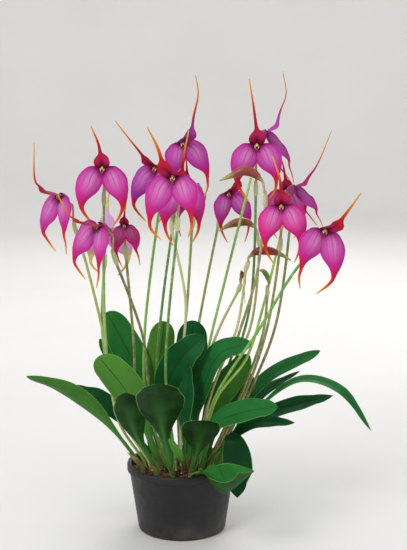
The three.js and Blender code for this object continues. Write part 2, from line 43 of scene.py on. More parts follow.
# Camera. It looks at the plant's front from a little above the blooms, tilted down by ten degrees, with a
# long lens and an upright frame.
CAMERA_PLACE, CAMERA_PITCH, LENS_LENGTH, FILM_HEIGHT = (0.025, -1.440, 0.550), 80, 85, 36
camera_data = bpy.data.cameras.new("camera")
camera_data.lens = LENS_LENGTH
camera_data.sensor_fit = "VERTICAL"
camera_data.sensor_height = FILM_HEIGHT
camera = bpy.data.objects.new("camera", camera_data)
camera.location = CAMERA_PLACE
camera.rotation_euler = (math.radians(CAMERA_PITCH), 0, 0)
bpy.context.collection.objects.link(camera)
bpy.context.scene.camera = camera

# Floor and light. A wide pale matt floor curves up into a low wall all round. A large soft lamp stands high
# on the left, a weaker one on the right, one behind for the rims and one for the wall, in a pale surround.
bpy.context.scene.view_settings.view_transform = "Standard"


def dye(code):
    """A colour written as it looks on a screen, as the linear values that shaders take."""
    parts = [int(code[i : i + 2], 16) / 255 for i in (0, 2, 4)]
    return (*[c / 12.92 if c < 0.04 else ((c + 0.055) / 1.055) ** 2.4 for c in parts], 1.0)


def feed(tree, socket, value):
    """Sets a socket, or links it where the value comes out of another node."""
    if isinstance(value, bpy.types.NodeSocket):
        tree.links.new(value, socket)
    else:
        socket.default_value = value


def put(tree, kind, settings=None, **inputs):
    """A node of a kind in a tree. Underscores in the names of its inputs stand for blanks."""
    made = tree.nodes.new(kind)
    for key, value in (settings or {}).items():
        setattr(made, key, value)
    for key, value in inputs.items():
        feed(tree, made.inputs[key.replace("_", " ")], value)
    return made


def new_finish(name, **values):
    """A material, its tree and its shader, with the values that are the same all over set on the shader."""
    material = bpy.data.materials.new(name)
    material.use_nodes = True
    shader = material.node_tree.nodes["Principled BSDF"]
    for key, value in values.items():
        shader.inputs[key.replace("_", " ")].default_value = value
    return material, material.node_tree, shader


def spread(tree, value, low, high, bottom=0.0, top=1.0):
    """A value from low to high spread over another range and held inside it."""
    mapped = put(tree, "ShaderNodeMapRange", Value=value)
    for key, number in (("From Min", low), ("From Max", high), ("To Min", bottom), ("To Max", top)):
        feed(tree, mapped.inputs[key], number)
    return mapped.outputs["Result"]


def calc(tree, how, first, second=0.5):
    """The outcome of one sum."""
    made = tree.nodes.new("ShaderNodeMath")
    made.operation = how
    feed(tree, made.inputs[0], first)
    feed(tree, made.inputs[1], second)
    return made.outputs[0]


def times(tree, *factors):
    """The product of values."""
    made = factors[0]
    for factor in factors[1:]:
        made = calc(tree, "MULTIPLY", made, factor)
    return made


def without(tree, share):
    """What a share leaves of the whole."""
    return calc(tree, "SUBTRACT", 1.0, share)


def blend(tree, share, first, second):
    """Two colours mixed by a share."""
    made = tree.nodes.new("ShaderNodeMix")
    made.data_type = "RGBA"
    feed(tree, made.inputs[0], share)
    feed(tree, made.inputs[6], first)
    feed(tree, made.inputs[7], second)
    return made.outputs[2]


def relief(tree, shader, height, strength, depth=0.0005):
    """A height that changes how the surface catches the light."""
    bump = put(tree, "ShaderNodeBump", Height=height, Strength=strength, Distance=depth)
    tree.links.new(bump.outputs["Normal"], shader.inputs["Normal"])


def new_group(name, inputs, outputs):
    """A shader node group with its named inputs and outputs, and the sockets inside it."""
    tree = bpy.data.node_groups.new(name, "ShaderNodeTree")
    for label, value in inputs.items():
        kind = "NodeSocketVector" if isinstance(value, tuple) else "NodeSocketFloat"
        tree.interface.new_socket(name=label, in_out="INPUT", socket_type=kind).default_value = value
    for label in outputs:
        tree.interface.new_socket(name=label, in_out="OUTPUT", socket_type="NodeSocketFloat")
    return tree, tree.nodes.new("NodeGroupInput").outputs, tree.nodes.new("NodeGroupOutput").inputs


def use_group(tree, group, **values):
    """A group placed in a material with its own values."""
    made = put(tree, "ShaderNodeGroup", {"node_tree": group}, **values)
    return made.outputs


# Mottle: cloudy noise in the piece's own space, drawn out by Stretch. Mask is the part from Low to High.
EVEN = (1.0, 1.0, 1.0)
mottle_group, given, result = new_group(
    "mottle", {"Scale": 50.0, "Detail": 3.0, "Stretch": EVEN, "Low": 0.3, "High": 0.7}, ["Mask", "Height"]
)
place = put(mottle_group, "ShaderNodeTexCoord").outputs["Object"]
place = put(mottle_group, "ShaderNodeMapping", Vector=place, Scale=given["Stretch"]).outputs["Vector"]
cloud = put(mottle_group, "ShaderNodeTexNoise", Vector=place, Scale=given["Scale"], Detail=given["Detail"])
cloud = cloud.outputs["Fac"]
feed(mottle_group, result["Height"], cloud)
feed(mottle_group, result["Mask"], spread(mottle_group, cloud, given["Low"], given["High"]))


def mottle(tree, scale, low=0.3, high=0.7, detail=3.0, stretch=EVEN):
    """Cloudy patches of a scale, as a share from low to high."""
    values = {"Scale": scale, "Low": low, "High": high, "Detail": detail, "Stretch": stretch}
    return use_group(tree, mottle_group, **values)["Mask"]


def grain(tree, scale, detail=3.0, stretch=EVEN):
    """The plain height of the cloudy noise, for relief."""
    return use_group(tree, mottle_group, Scale=scale, Detail=detail, Stretch=stretch)["Height"]


floor_finish, tree, shader = new_finish("pale_table", Roughness=0.75)
feed(tree, shader.inputs["Base Color"], blend(tree, mottle(tree, 3), dye("d6d4d0"), dye("dad8d5")))
FLOOR_DROP, FLOOR_EYE, FLOOR_MIDWAY, FLOOR_RADIUS, FLOOR_SIDES = 0.0004, 0.01, 1.2, 2.6, 96
COVE_RADIUS, COVE_START, COVE_STEPS, WALL_TOP = 1.2, 0.1, 14, 2.6
sweep = [(FLOOR_EYE, 0), (FLOOR_MIDWAY, 0), (FLOOR_RADIUS, 0)]
for a in np.linspace(COVE_START, math.pi / 2, COVE_STEPS):
    sweep.append((FLOOR_RADIUS + COVE_RADIUS * math.sin(a), COVE_RADIUS * (1 - math.cos(a))))
sweep.append((FLOOR_RADIUS + COVE_RADIUS, WALL_TOP))
angles = np.arange(FLOOR_SIDES) * 2 * math.pi / FLOOR_SIDES
places = [(r * math.cos(a), r * math.sin(a), z - FLOOR_DROP) for r, z in sweep for a in angles]
quads = []
for low in range(0, (len(sweep) - 1) * FLOOR_SIDES, FLOOR_SIDES):
    for k in range(FLOOR_SIDES):
        after = low + (k + 1) % FLOOR_SIDES
        quads.append((low + k, after, after + FLOOR_SIDES, low + k + FLOOR_SIDES))
floor_mesh = bpy.data.meshes.new("floor")
floor_mesh.from_pydata(places, [], quads + [tuple(range(FLOOR_SIDES))])
floor_mesh.materials.append(floor_finish)
floor_mesh.shade_smooth()
floor = bpy.data.objects.new("floor", floor_mesh)
bpy.context.collection.objects.link(floor)

SURROUND_COLOUR, SURROUND_STRENGTH = (0.92, 0.95, 1.0, 1.0), 0.75
world = bpy.data.worlds.new("surround")
world.use_nodes = True
world.node_tree.nodes["Background"].inputs["Color"].default_value = SURROUND_COLOUR
world.node_tree.nodes["Background"].inputs["Strength"].default_value = SURROUND_STRENGTH
bpy.context.scene.world = world

PLANT_MIDDLE, WALL_MIDDLE = (0.0, 0.0, 0.3), (0.0, 3.8, 0.9)
# Each lamp: its name, place, target, size and power
LAMPS = [
    ("key_lamp", (-1.2, -1.5, 1.7), PLANT_MIDDLE, 0.9, 29),
    ("fill_lamp", (1.6, -1.3, 0.9), PLANT_MIDDLE, 1.4, 7),
    ("rim_lamp", (0.5, 1.7, 1.5), PLANT_MIDDLE, 1.2, 17),
    ("wall_lamp", (0.0, 1.2, 3.0), WALL_MIDDLE, 2.0, 32),
]
for name, place, target, size, power in LAMPS:
    lamp_data = bpy.data.lights.new(name, "AREA")
    lamp_data.size = size
    lamp_data.energy = power
    lamp = bpy.data.objects.new(name, lamp_data)
    lamp.location = place
    away = np.subtract(place, target)
    tilt, turn = math.atan2(math.hypot(away[0], away[1]), away[2]), math.atan2(away[0], -away[1])
    lamp.rotation_euler = (tilt, 0, turn)
    bpy.context.collection.objects.link(lamp)


# Pot. A thin moulded pan of matt black plastic with a rolled rim, a foot ring and six drain holes. It is
# turned as one closed skin, and the holes are cut through its floor.
def skin(rings, marks=None, finish=0, wrap=False):
    """Points, faces and marks of a skin through rings with equally many points. Its ends are filled, or its
    last ring joins its first."""
    rings = np.asarray(rings, float)
    rows, size = rings.shape[:2]
    points = rings.reshape(-1, 3)
    faces = []
    for i in range(rows if wrap else rows - 1):
        low, high = i * size, (i + 1) % rows * size
        for k in range(size):
            after = (k + 1) % size
            faces.append((low + k, low + after, high + after, high + k))
    values = {}
    for key, mark in (marks or {}).items():
        extra = np.shape(mark)[2:]
        values[key] = np.broadcast_to(np.asarray(mark, float), (rows, size) + extra).reshape((-1,) + extra)
    if not wrap:
        points = np.vstack([points, rings[0].mean(0), rings[-1].mean(0)])
        foot, head = len(points) - 2, len(points) - 1
        for k in range(size):
            after = (k + 1) % size
            faces.append((foot, after, k))
            faces.append((head, (rows - 1) * size + k, (rows - 1) * size + after))
        for key, mark in values.items():
            low, high = mark[:size].mean(0, keepdims=True), mark[-size:].mean(0, keepdims=True)
            values[key] = np.concatenate([mark, low, high])
    return {"points": points, "faces": faces, "marks": values, "finish": finish}


def add_piece(name, skins, finishes, nodes, crease):
    """One object from skins in millimetres, on the part's root. It stands for the nodes that are named.
    crease is the angle in degrees from which an edge stays sharp."""
    points = np.vstack([one["points"] for one in skins]) * MM
    faces, kinds, start = [], [], 0
    for one in skins:
        faces += [tuple(start + corner for corner in face) for face in one["faces"]]
        kinds += [one["finish"]] * len(one["faces"])
        start += len(one["points"])
    mesh = bpy.data.meshes.new(name)
    mesh.from_pydata(points.tolist(), [], faces)
    keys = sorted({key for one in skins for key in one["marks"]})
    for key in keys:
        coloured = any(one["marks"][key].ndim == 2 for one in skins if key in one["marks"])
        width = (3,) if coloured else ()
        values = [one["marks"].get(key, np.zeros((len(one["points"]),) + width)) for one in skins]
        values = np.concatenate(values)
        if coloured:
            mark = mesh.attributes.new(key, "FLOAT_COLOR", "POINT")
            mark.data.foreach_set("color", np.hstack([values, np.ones((len(values), 1))]).ravel())
        else:
            mark = mesh.attributes.new(key, "FLOAT", "POINT")
            mark.data.foreach_set("value", values.ravel())
    for finish in finishes:
        mesh.materials.append(finish)
    mesh.polygons.foreach_set("material_index", kinds)
    shape = bmesh.new()
    shape.from_mesh(mesh)
    bmesh.ops.recalc_face_normals(shape, faces=shape.faces)
    shape.to_mesh(mesh)
    shape.free()
    mesh.shade_smooth()
    mesh.set_sharp_from_angle(angle=math.radians(crease))
    piece = bpy.data.objects.new(name, mesh)
    bpy.context.collection.objects.link(piece)
    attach(piece, "root")
    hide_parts(*nodes)
    return piece


def turned(profile, sides):
    """Rings of a profile of radii and heights, turned about the upright axis."""
    angles = np.arange(sides) * 2 * math.pi / sides
    return [[(r * math.cos(a), r * math.sin(a), z) for a in angles] for r, z in profile]


def settle(piece):
    """Turns a piece's modifiers into its mesh."""
    seen = piece.evaluated_get(bpy.context.evaluated_depsgraph_get())
    piece.data = bpy.data.meshes.new_from_object(seen)
    piece.modifiers.clear()


pot_finish, tree, shader = new_finish("black_pot_plastic", Specular_IOR_Level=0.4)
place = put(tree, "ShaderNodeTexCoord").outputs["Object"]
height = put(tree, "ShaderNodeSeparateXYZ", Vector=place).outputs["Z"]
dust = times(tree, spread(tree, height, 0.03, 0.0), mottle(tree, 60, 0.35, 0.7, 6))
scuffs = times(tree, mottle(tree, 45, 0.6, 0.8, 8, (1, 1, 9)), 0.35)
colour = blend(tree, mottle(tree, 25), dye("131316"), dye("1d1d20"))
colour = blend(tree, times(tree, dust, 0.5), colour, dye("6a6258"))
feed(tree, shader.inputs["Base Color"], blend(tree, scuffs, colour, dye("343333")))
feed(tree, shader.inputs["Roughness"], spread(tree, mottle(tree, 120, detail=4), 0, 1, 0.42, 0.6))
relief(tree, shader, grain(tree, 1600, 2), 0.25, 0.0002)

# Radii and heights from the middle of the underside, over the foot, wall and rim, to the middle of the floor
POT_PROFILE = [
    (2, 0.9), (38, 0.9), (40.5, 0.6), (41.5, 0), (49, 0), (49.9, 0.6), (50.6, 3), (60, 66.6), (60.4, 68.4),
    (61, 69), (62.4, 69.1), (62.9, 69.7), (63, 71), (63, 76.4), (62.6, 77.5), (61.6, 78), (59.4, 78),
    (58.5, 77.6), (58, 76.4), (47.9, 4.6), (47.2, 3), (45.5, 2.4), (2, 2.4),
]
POT_SIDES, POT_CREASE = 112, 50
DRAIN_CIRCLE, DRAIN_RADIUS, DRAIN_COUNT, DRAIN_SIDES, DRILL_DEPTH = 33, 4, 6, 24, 20
pot_skin = skin(turned(POT_PROFILE, POT_SIDES))
pot = add_piece("pot_shell", [pot_skin], [pot_finish], ["pot"], POT_CREASE)
drills = bmesh.new()
for n in range(DRAIN_COUNT):
    a = 2 * math.pi * n / DRAIN_COUNT
    hole = bmesh.ops.create_cone(
        drills, cap_ends=True, segments=DRAIN_SIDES, radius1=DRAIN_RADIUS * MM, radius2=DRAIN_RADIUS * MM,
        depth=DRILL_DEPTH * MM,
    )
    place = (DRAIN_CIRCLE * MM * math.cos(a), DRAIN_CIRCLE * MM * math.sin(a), 0)
    bmesh.ops.translate(drills, verts=hole["verts"], vec=place)
drill_mesh = bpy.data.meshes.new("drills")
drills.to_mesh(drill_mesh)
drills.free()
drill = bpy.data.objects.new("drills", drill_mesh)
cut = pot.modifiers.new("drain", "BOOLEAN")
cut.object = drill
cut.solver = "EXACT"
settle(pot)
bpy.data.objects.remove(drill)

# Potting mix. Moist bark chips and a few bits of perlite fill the pot to just under its rim. A rough bed
# holds loose chips, each a small broken block of its own.
bark_finish, tree, shader = new_finish("fir_bark", Roughness=0.88, Specular_IOR_Level=0.25)
own = put(tree, "ShaderNodeAttribute", {"attribute_name": "kind"}).outputs["Fac"]
colour = blend(tree, spread(tree, own, 0, 0.5), dye("2c1a10"), dye("5b3a22"))
colour = blend(tree, spread(tree, own, 0.5, 1), colour, dye("8a6642"))
ALONG_GRAIN = (1, 0.25, 1)
shade = blend(tree, 0.55, colour, dye("1a100a"))
fibres = mottle(tree, 700, 0.35, 0.7, 5, ALONG_GRAIN)
feed(tree, shader.inputs["Base Color"], blend(tree, fibres, shade, colour))
relief(tree, shader, grain(tree, 700, 5, ALONG_GRAIN), 0.8)

perlite_finish, tree, shader = new_finish("perlite", Roughness=0.9)
colour = blend(tree, mottle(tree, 900, 0.3, 0.6, 4), dye("b9ab9c"), dye("e6e0d6"))
feed(tree, shader.inputs["Base Color"], colour)
relief(tree, shader, grain(tree, 900, 4), 0.7)

MIX_TOP, MIX_FLOOR, MIX_EDGE, MIX_LOW_EDGE, BED_SIDES = 70, 2.8, 56.2, 46.6, 72
BED_SHARES, BED_TONE = (0.97, 0.9, 0.8, 0.68, 0.55, 0.42, 0.28, 0.14, 0.04), 0.12
bed_random = random.Random(11)
bed_profile = [(2, MIX_FLOOR), (MIX_LOW_EDGE, MIX_FLOOR), (MIX_EDGE, MIX_TOP - 1.5)]
bed_profile += [(MIX_EDGE * share, MIX_TOP) for share in BED_SHARES]
bed = np.array(turned(bed_profile, BED_SIDES))
top = bed[:, :, 2] > MIX_TOP - 2
swells = 1.1 * np.sin(bed[:, :, 0] / 7) * np.cos(bed[:, :, 1] / 9)
lumps = 0.7 * np.sin(bed[:, :, 0] / 2.3 + bed[:, :, 1] / 3.1)
bed[:, :, 2] += top * (swells + lumps)
# Half sizes that a bark chip and a bead of perlite are drawn from, with how many there are and how far out
CHIP_HALVES, PERLITE_HALF = [(2.2, 6.5), (1.6, 3.8), (0.8, 1.9)], (1.2, 2.1)
CHIPS, PERLITE_EVERY, CHIP_CORNERS, CHIPS_REACH, MIX_CREASE = 560, 19, 12, 53.5, 25
skins = [skin(bed, {"kind": [[BED_TONE]]})]
for n in range(CHIPS):
    white = n % PERLITE_EVERY == 0
    reach = CHIPS_REACH * math.sqrt(bed_random.random())
    bearing = bed_random.uniform(0, 2 * math.pi)
    half = np.array([bed_random.uniform(*pair) for pair in CHIP_HALVES])
    if white:
        half = np.full(3, bed_random.uniform(*PERLITE_HALF))
    lump = bmesh.new()
    for _ in range(CHIP_CORNERS):
        corner = [bed_random.uniform(-1, 1) for _ in range(3)]
        far = max(abs(c) for c in corner) if not white else math.dist(corner, (0, 0, 0))
        lump.verts.new([h * c / far for h, c in zip(half, corner)])
    hull = bmesh.ops.convex_hull(lump, input=lump.verts)
    inside = [v for v in hull["geom_interior"] if isinstance(v, bmesh.types.BMVert)]
    bmesh.ops.delete(lump, geom=inside, context="VERTS")
    spin, tilt = bed_random.uniform(0, math.pi), bed_random.gauss(0, 0.35)
    lump.verts.index_update()
    corners = np.array([v.co[:] for v in lump.verts])
    turn = np.array([[math.cos(spin), -math.sin(spin), 0], [math.sin(spin), math.cos(spin), 0], [0, 0, 1]])
    lean = np.array([[1, 0, 0], [0, math.cos(tilt), -math.sin(tilt)], [0, math.sin(tilt), math.cos(tilt)]])
    place = [reach * math.cos(bearing), reach * math.sin(bearing), MIX_TOP + bed_random.uniform(-0.4, 1.7)]
    corners = corners @ lean.T @ turn.T + place
    kind = np.full(len(corners), bed_random.random())
    faces = [tuple(v.index for v in face.verts) for face in lump.faces]
    skins.append({"points": corners, "faces": faces, "marks": {"kind": kind}, "finish": 1 if white else 0})
    lump.free()
add_piece("bark_mix", skins, [bark_finish, perlite_finish], ["potting_mix"], MIX_CREASE)


# Leaves. Each is a thick leathery blade on a channelled stalk that comes up out of a papery sheath. Its
# upper side is deep green, its underside duller, its midrib sunken. Two that share a foot are one piece.
LINE_STEPS = 40


def grown_line(points):
    """A smooth centripetal curve through points: its places, tangents and the length up to each place."""
    knots = np.array(points, float)
    knots = np.vstack([2 * knots[0] - knots[1], knots, 2 * knots[-1] - knots[-2]])
    places = []
    for a, b, c, d in zip(knots, knots[1:], knots[2:], knots[3:]):
        gaps = [max(np.linalg.norm(v - u), 1e-6) ** 0.5 for u, v in ((a, b), (b, c), (c, d))]
        leave = ((b - a) / gaps[0] - (c - a) / (gaps[0] + gaps[1]) + (c - b) / gaps[1]) * gaps[1]
        reach = ((c - b) / gaps[1] - (d - b) / (gaps[1] + gaps[2]) + (d - c) / gaps[2]) * gaps[1]
        w = np.arange(LINE_STEPS)[:, None] / LINE_STEPS
        square, cube = 3 * (c - b) - 2 * leave - reach, 2 * (b - c) + leave + reach
        places.append(b + leave * w + square * w**2 + cube * w**3)
    places = np.vstack(places + [knots[-2:-1]])
    tangents = np.gradient(places, axis=0)
    tangents /= np.linalg.norm(tangents, axis=1, keepdims=True)
    lengths = np.concatenate([[0], np.cumsum(np.linalg.norm(np.diff(places, axis=0), axis=1))])
    return {"places": places, "tangents": tangents, "lengths": lengths, "length": lengths[-1]}


def along_line(line, distances):
    """Places and tangents at distances along a grown line."""
    place, tangent = (
        np.stack([np.interp(distances, line["lengths"], line[key][:, k]) for k in range(3)], -1)
        for key in ("places", "tangents")
    )
    return place, tangent / np.linalg.norm(tangent, axis=-1, keepdims=True)


def eased(knots, values, shares):
    """Values between knots without overshoot, by a cubic whose slopes never change sign."""
    knots, values, shares = (np.asarray(v, float) for v in (knots, values, shares))
    steps = np.diff(values) / np.diff(knots)
    slopes = np.concatenate([[steps[0]], np.zeros(len(knots) - 2), [steps[-1]]])
    for k in range(1, len(knots) - 1):
        if steps[k - 1] * steps[k] > 0:
            slopes[k] = 2 * steps[k - 1] * steps[k] / (steps[k - 1] + steps[k])
    k = np.clip(np.searchsorted(knots, shares) - 1, 0, len(knots) - 2)
    gap = knots[k + 1] - knots[k]
    w = np.clip((shares - knots[k]) / gap, 0, 1)
    low, high = values[k], values[k + 1]
    return (
        low * (1 + 2 * w) * (1 - w) ** 2 + high * w * w * (3 - 2 * w)
        + gap * (slopes[k] * w * (1 - w) ** 2 - slopes[k + 1] * w * w * (1 - w))
    )


def blade(
    line, shares, half, thick, lift, face=None, across=None, columns=12, waves=None, marks=None, finish=0,
    other=None,
):
    """A closed blade on a line. It has a half width, a thickness and a lift of its margins at each share of
    its length. other is the half width on its far side, where that differs. waves gives extra heights for
    its face and back from the shares and the places across."""
    centre, along = along_line(line, np.asarray(shares) * line["length"])
    if across is not None:
        side = across - along * (along @ across)[:, None]
    else:
        side = np.cross(along, face)
    side /= np.linalg.norm(side, axis=1, keepdims=True)
    up = np.cross(side, along)
    x = -np.cos(np.arange(columns + 1) * math.pi / columns)
    rounding = np.sqrt(1 - x**2) ** 0.8
    front = lift[:, None] * np.abs(x) ** 1.5
    back = front - 0.5 * thick[:, None] * rounding
    front = front + 0.5 * thick[:, None] * rounding
    if waves:
        over, under = waves(np.asarray(shares)[:, None], x[None, :])
        front, back = front + over, back + under
    reach = np.where(x > 0, (half if other is None else other)[:, None] * x, half[:, None] * x)
    flat = centre[:, None] + side[:, None] * reach[..., None]
    top = flat + up[:, None] * front[..., None]
    bottom = flat + up[:, None] * back[..., None]
    rings = np.concatenate([top, bottom[:, -2:0:-1]], axis=1)
    x_round = np.concatenate([x, x[-2:0:-1]])
    upper = np.concatenate([np.ones(columns + 1), np.zeros(columns - 1)])
    upper[[0, columns]] = 0.5
    values = {"along": np.asarray(shares)[:, None], "across": x_round[None], "upper": upper[None]}
    return skin(rings, {**values, **(marks or {})}, finish)


def foot_of(node):
    """Where a shoot leaves the mix: the middle of the lowest points of its solid."""
    places = np.array([v.co[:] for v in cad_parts[node].data.vertices]) / MM
    return places[places[:, 2] < places[:, 2].min() + 0.5].mean(0)


def mark_of(tree, name, kind="Fac"):
    """What a piece's points carry under a name."""
    return put(tree, "ShaderNodeAttribute", {"attribute_name": name}).outputs[kind]


# Ribs: lines that run the length of a piece. Count is how fast the wave turns across it, and Mask is the
# part of the wave from Low to High. Phase moves the lines, so that half pi sets one in the middle.
ribs_group, given, result = new_group(
    "ribs", {"Across": 0.0, "Count": 30.0, "Phase": 0.0, "Low": -1.0, "High": 1.0}, ["Mask"]
)
wave = calc(ribs_group, "ADD", times(ribs_group, given["Across"], given["Count"]), given["Phase"])
wave = calc(ribs_group, "SINE", wave)
feed(ribs_group, result["Mask"], spread(ribs_group, wave, given["Low"], given["High"]))

# Streaks: fine uneven lines along a piece, from its marks of the place across and along it
streaks_group, given, result = new_group(
    "streaks", {"Across": 0.0, "Along": 0.0, "Count": 12.0, "Length": 2.0, "Low": 0.35, "High": 0.65},
    ["Mask"],
)
place = put(
    streaks_group, "ShaderNodeCombineXYZ", X=times(streaks_group, given["Across"], given["Count"]),
    Y=times(streaks_group, given["Along"], given["Length"]),
).outputs["Vector"]
lines = put(streaks_group, "ShaderNodeTexNoise", Vector=place, Scale=1.0, Detail=4.0).outputs["Fac"]
feed(streaks_group, result["Mask"], spread(streaks_group, lines, given["Low"], given["High"]))
HALF_PI = math.pi / 2


def ribs(tree, count, phase=0.0, low=-1.0, high=1.0):
    """Ribs across a piece that carries the mark for it."""
    values = {"Across": mark_of(tree, "across"), "Count": count, "Phase": phase, "Low": low, "High": high}
    return use_group(tree, ribs_group, **values)["Mask"]


def streaks(tree, count, length=2.0, low=0.35, high=0.65):
    """Streaks along a piece that carries the marks for them."""
    marks = {"Across": mark_of(tree, "across"), "Along": mark_of(tree, "along")}
    return use_group(tree, streaks_group, Count=count, Length=length, Low=low, High=high, **marks)["Mask"]


leaf_finish, tree, shader = new_finish("orchid_leaf", Specular_IOR_Level=0.08)
along, across, upper, pale = (mark_of(tree, name) for name in ("along", "across", "upper", "pale"))
patches = mottle(tree, 55, detail=4)
# Painted light and shade: a leaf's mark above nought paints a backlit leaf paler, and below nought paints a
# leaf in shadow darker, on both its sides.
painted_light_share, deep = spread(tree, pale, 0, 1), spread(tree, pale, 0, -1)
top_colour = blend(tree, patches, dye("114f26"), dye("1b6531"))
top_colour = blend(tree, painted_light_share, top_colour, dye("3a903a"))
top_colour = blend(tree, times(tree, deep, 0.8), top_colour, dye("0b2f14"))
under_colour = blend(tree, patches, dye("21561f"), dye("357228"))
under_colour = blend(tree, painted_light_share, under_colour, dye("5f9c3e"))
under_colour = blend(tree, deep, under_colour, blend(tree, patches, dye("112c0a"), dye("1e4a14")))
colour = blend(tree, upper, under_colour, top_colour)
veins = ribs(tree, 60, low=0.2)
colour = blend(tree, times(tree, veins, 0.07), colour, dye("0e3a1c"))
colour = blend(tree, times(tree, streaks(tree, 9, 3), 0.16), colour, dye("0c3416"))
from_middle = calc(tree, "ABSOLUTE", across)
# A dark line along the sunken midrib of the blade: painted shade in its groove.
midrib_groove_shade = spread(tree, from_middle, 0.045, 0.012, 0, 0.75)
colour = blend(tree, times(tree, midrib_groove_shade, spread(tree, along, 0.35, 0.5)), colour, dye("0f3417"))
stalk_share = spread(tree, along, 0.46, 0.2)
colour = blend(tree, times(tree, stalk_share, 0.7), colour, dye("44803a"))
# A paler band along the keel of the underside: partly its own colour, partly a painted highlight along the
# midrib.
keel = times(tree, spread(tree, from_middle, 0.4, 0.02), spread(tree, along, 0.92, 0.4))
keel = times(tree, keel, 0.6, without(tree, upper))
colour = blend(tree, keel, colour, dye("4a8640"))
specks = times(tree, mottle(tree, 420, 0.68, 0.74, 2), 0.45)
colour = blend(tree, specks, colour, dye("1c3a16"))
# A thin light line along the margins: a painted highlight where the rounded edge catches the light.
painted_rim_highlight = spread(tree, from_middle, 0.962, 0.99, 0, 0.7)
colour = blend(tree, painted_rim_highlight, colour, dye("86b85c"))
feed(tree, shader.inputs["Base Color"], colour)
feed(tree, shader.inputs["Roughness"], spread(tree, mottle(tree, 90, detail=4), 0, 1, 0.46, 0.6))
texture = calc(tree, "ADD", times(tree, veins, 0.15), grain(tree, 1100))
relief(tree, shader, texture, 0.3, 0.0004)

sheath_finish, tree, shader = new_finish("papery_sheath", Roughness=0.7, Specular_IOR_Level=0.3)
dry = mark_of(tree, "dry")
fibres = times(tree, ribs(tree, 60), streaks(tree, 14, 4, 0.3, 0.7))
colour = blend(tree, spread(tree, mark_of(tree, "along"), 0, 0.8), dye("4d5f2c"), dye("a3905f"))
colour = blend(tree, dry, dye("7a9c42"), colour)
frayed = times(tree, mottle(tree, 120, 0.45, 0.7, 4), dry, 0.85)
colour = blend(tree, frayed, colour, dye("54371f"))
feed(tree, shader.inputs["Base Color"], blend(tree, times(tree, fibres, 0.6), colour, dye("3a2f1c")))
relief(tree, shader, fibres, 0.5)

ROOT_LENGTH, COLLAR_HEIGHT, SHEATH_RADIUS, SHEATH_DEPTH, SHEATH_WALL = 14, 9, 2.9, 4.4, 0.7
SHEATH_START, SHEATH_LENGTHS, DRYNESS = 10, (20, 38), (0.25, 0.45, 0.7, 1.0)
# Sections from foot to tip: the share of the half width, the thickness and the lift of the margins
LEAF_SECTIONS = [
    (0.15, 3.4, 0.04), (0.16, 2.7, 0.06), (0.34, 2.2, 0.12), (0.7, 1.9, 0.18),
    (0.95, 1.7, 0.2), (1, 1.6, 0.18), (0.78, 1.4, 0.12), (0.22, 1.1, 0.02),
]
LEAF_TIPS = {"plain": (0.78, 0.72), "round": (0.92, 0.5), "sharp": (0.6, 1.0)}
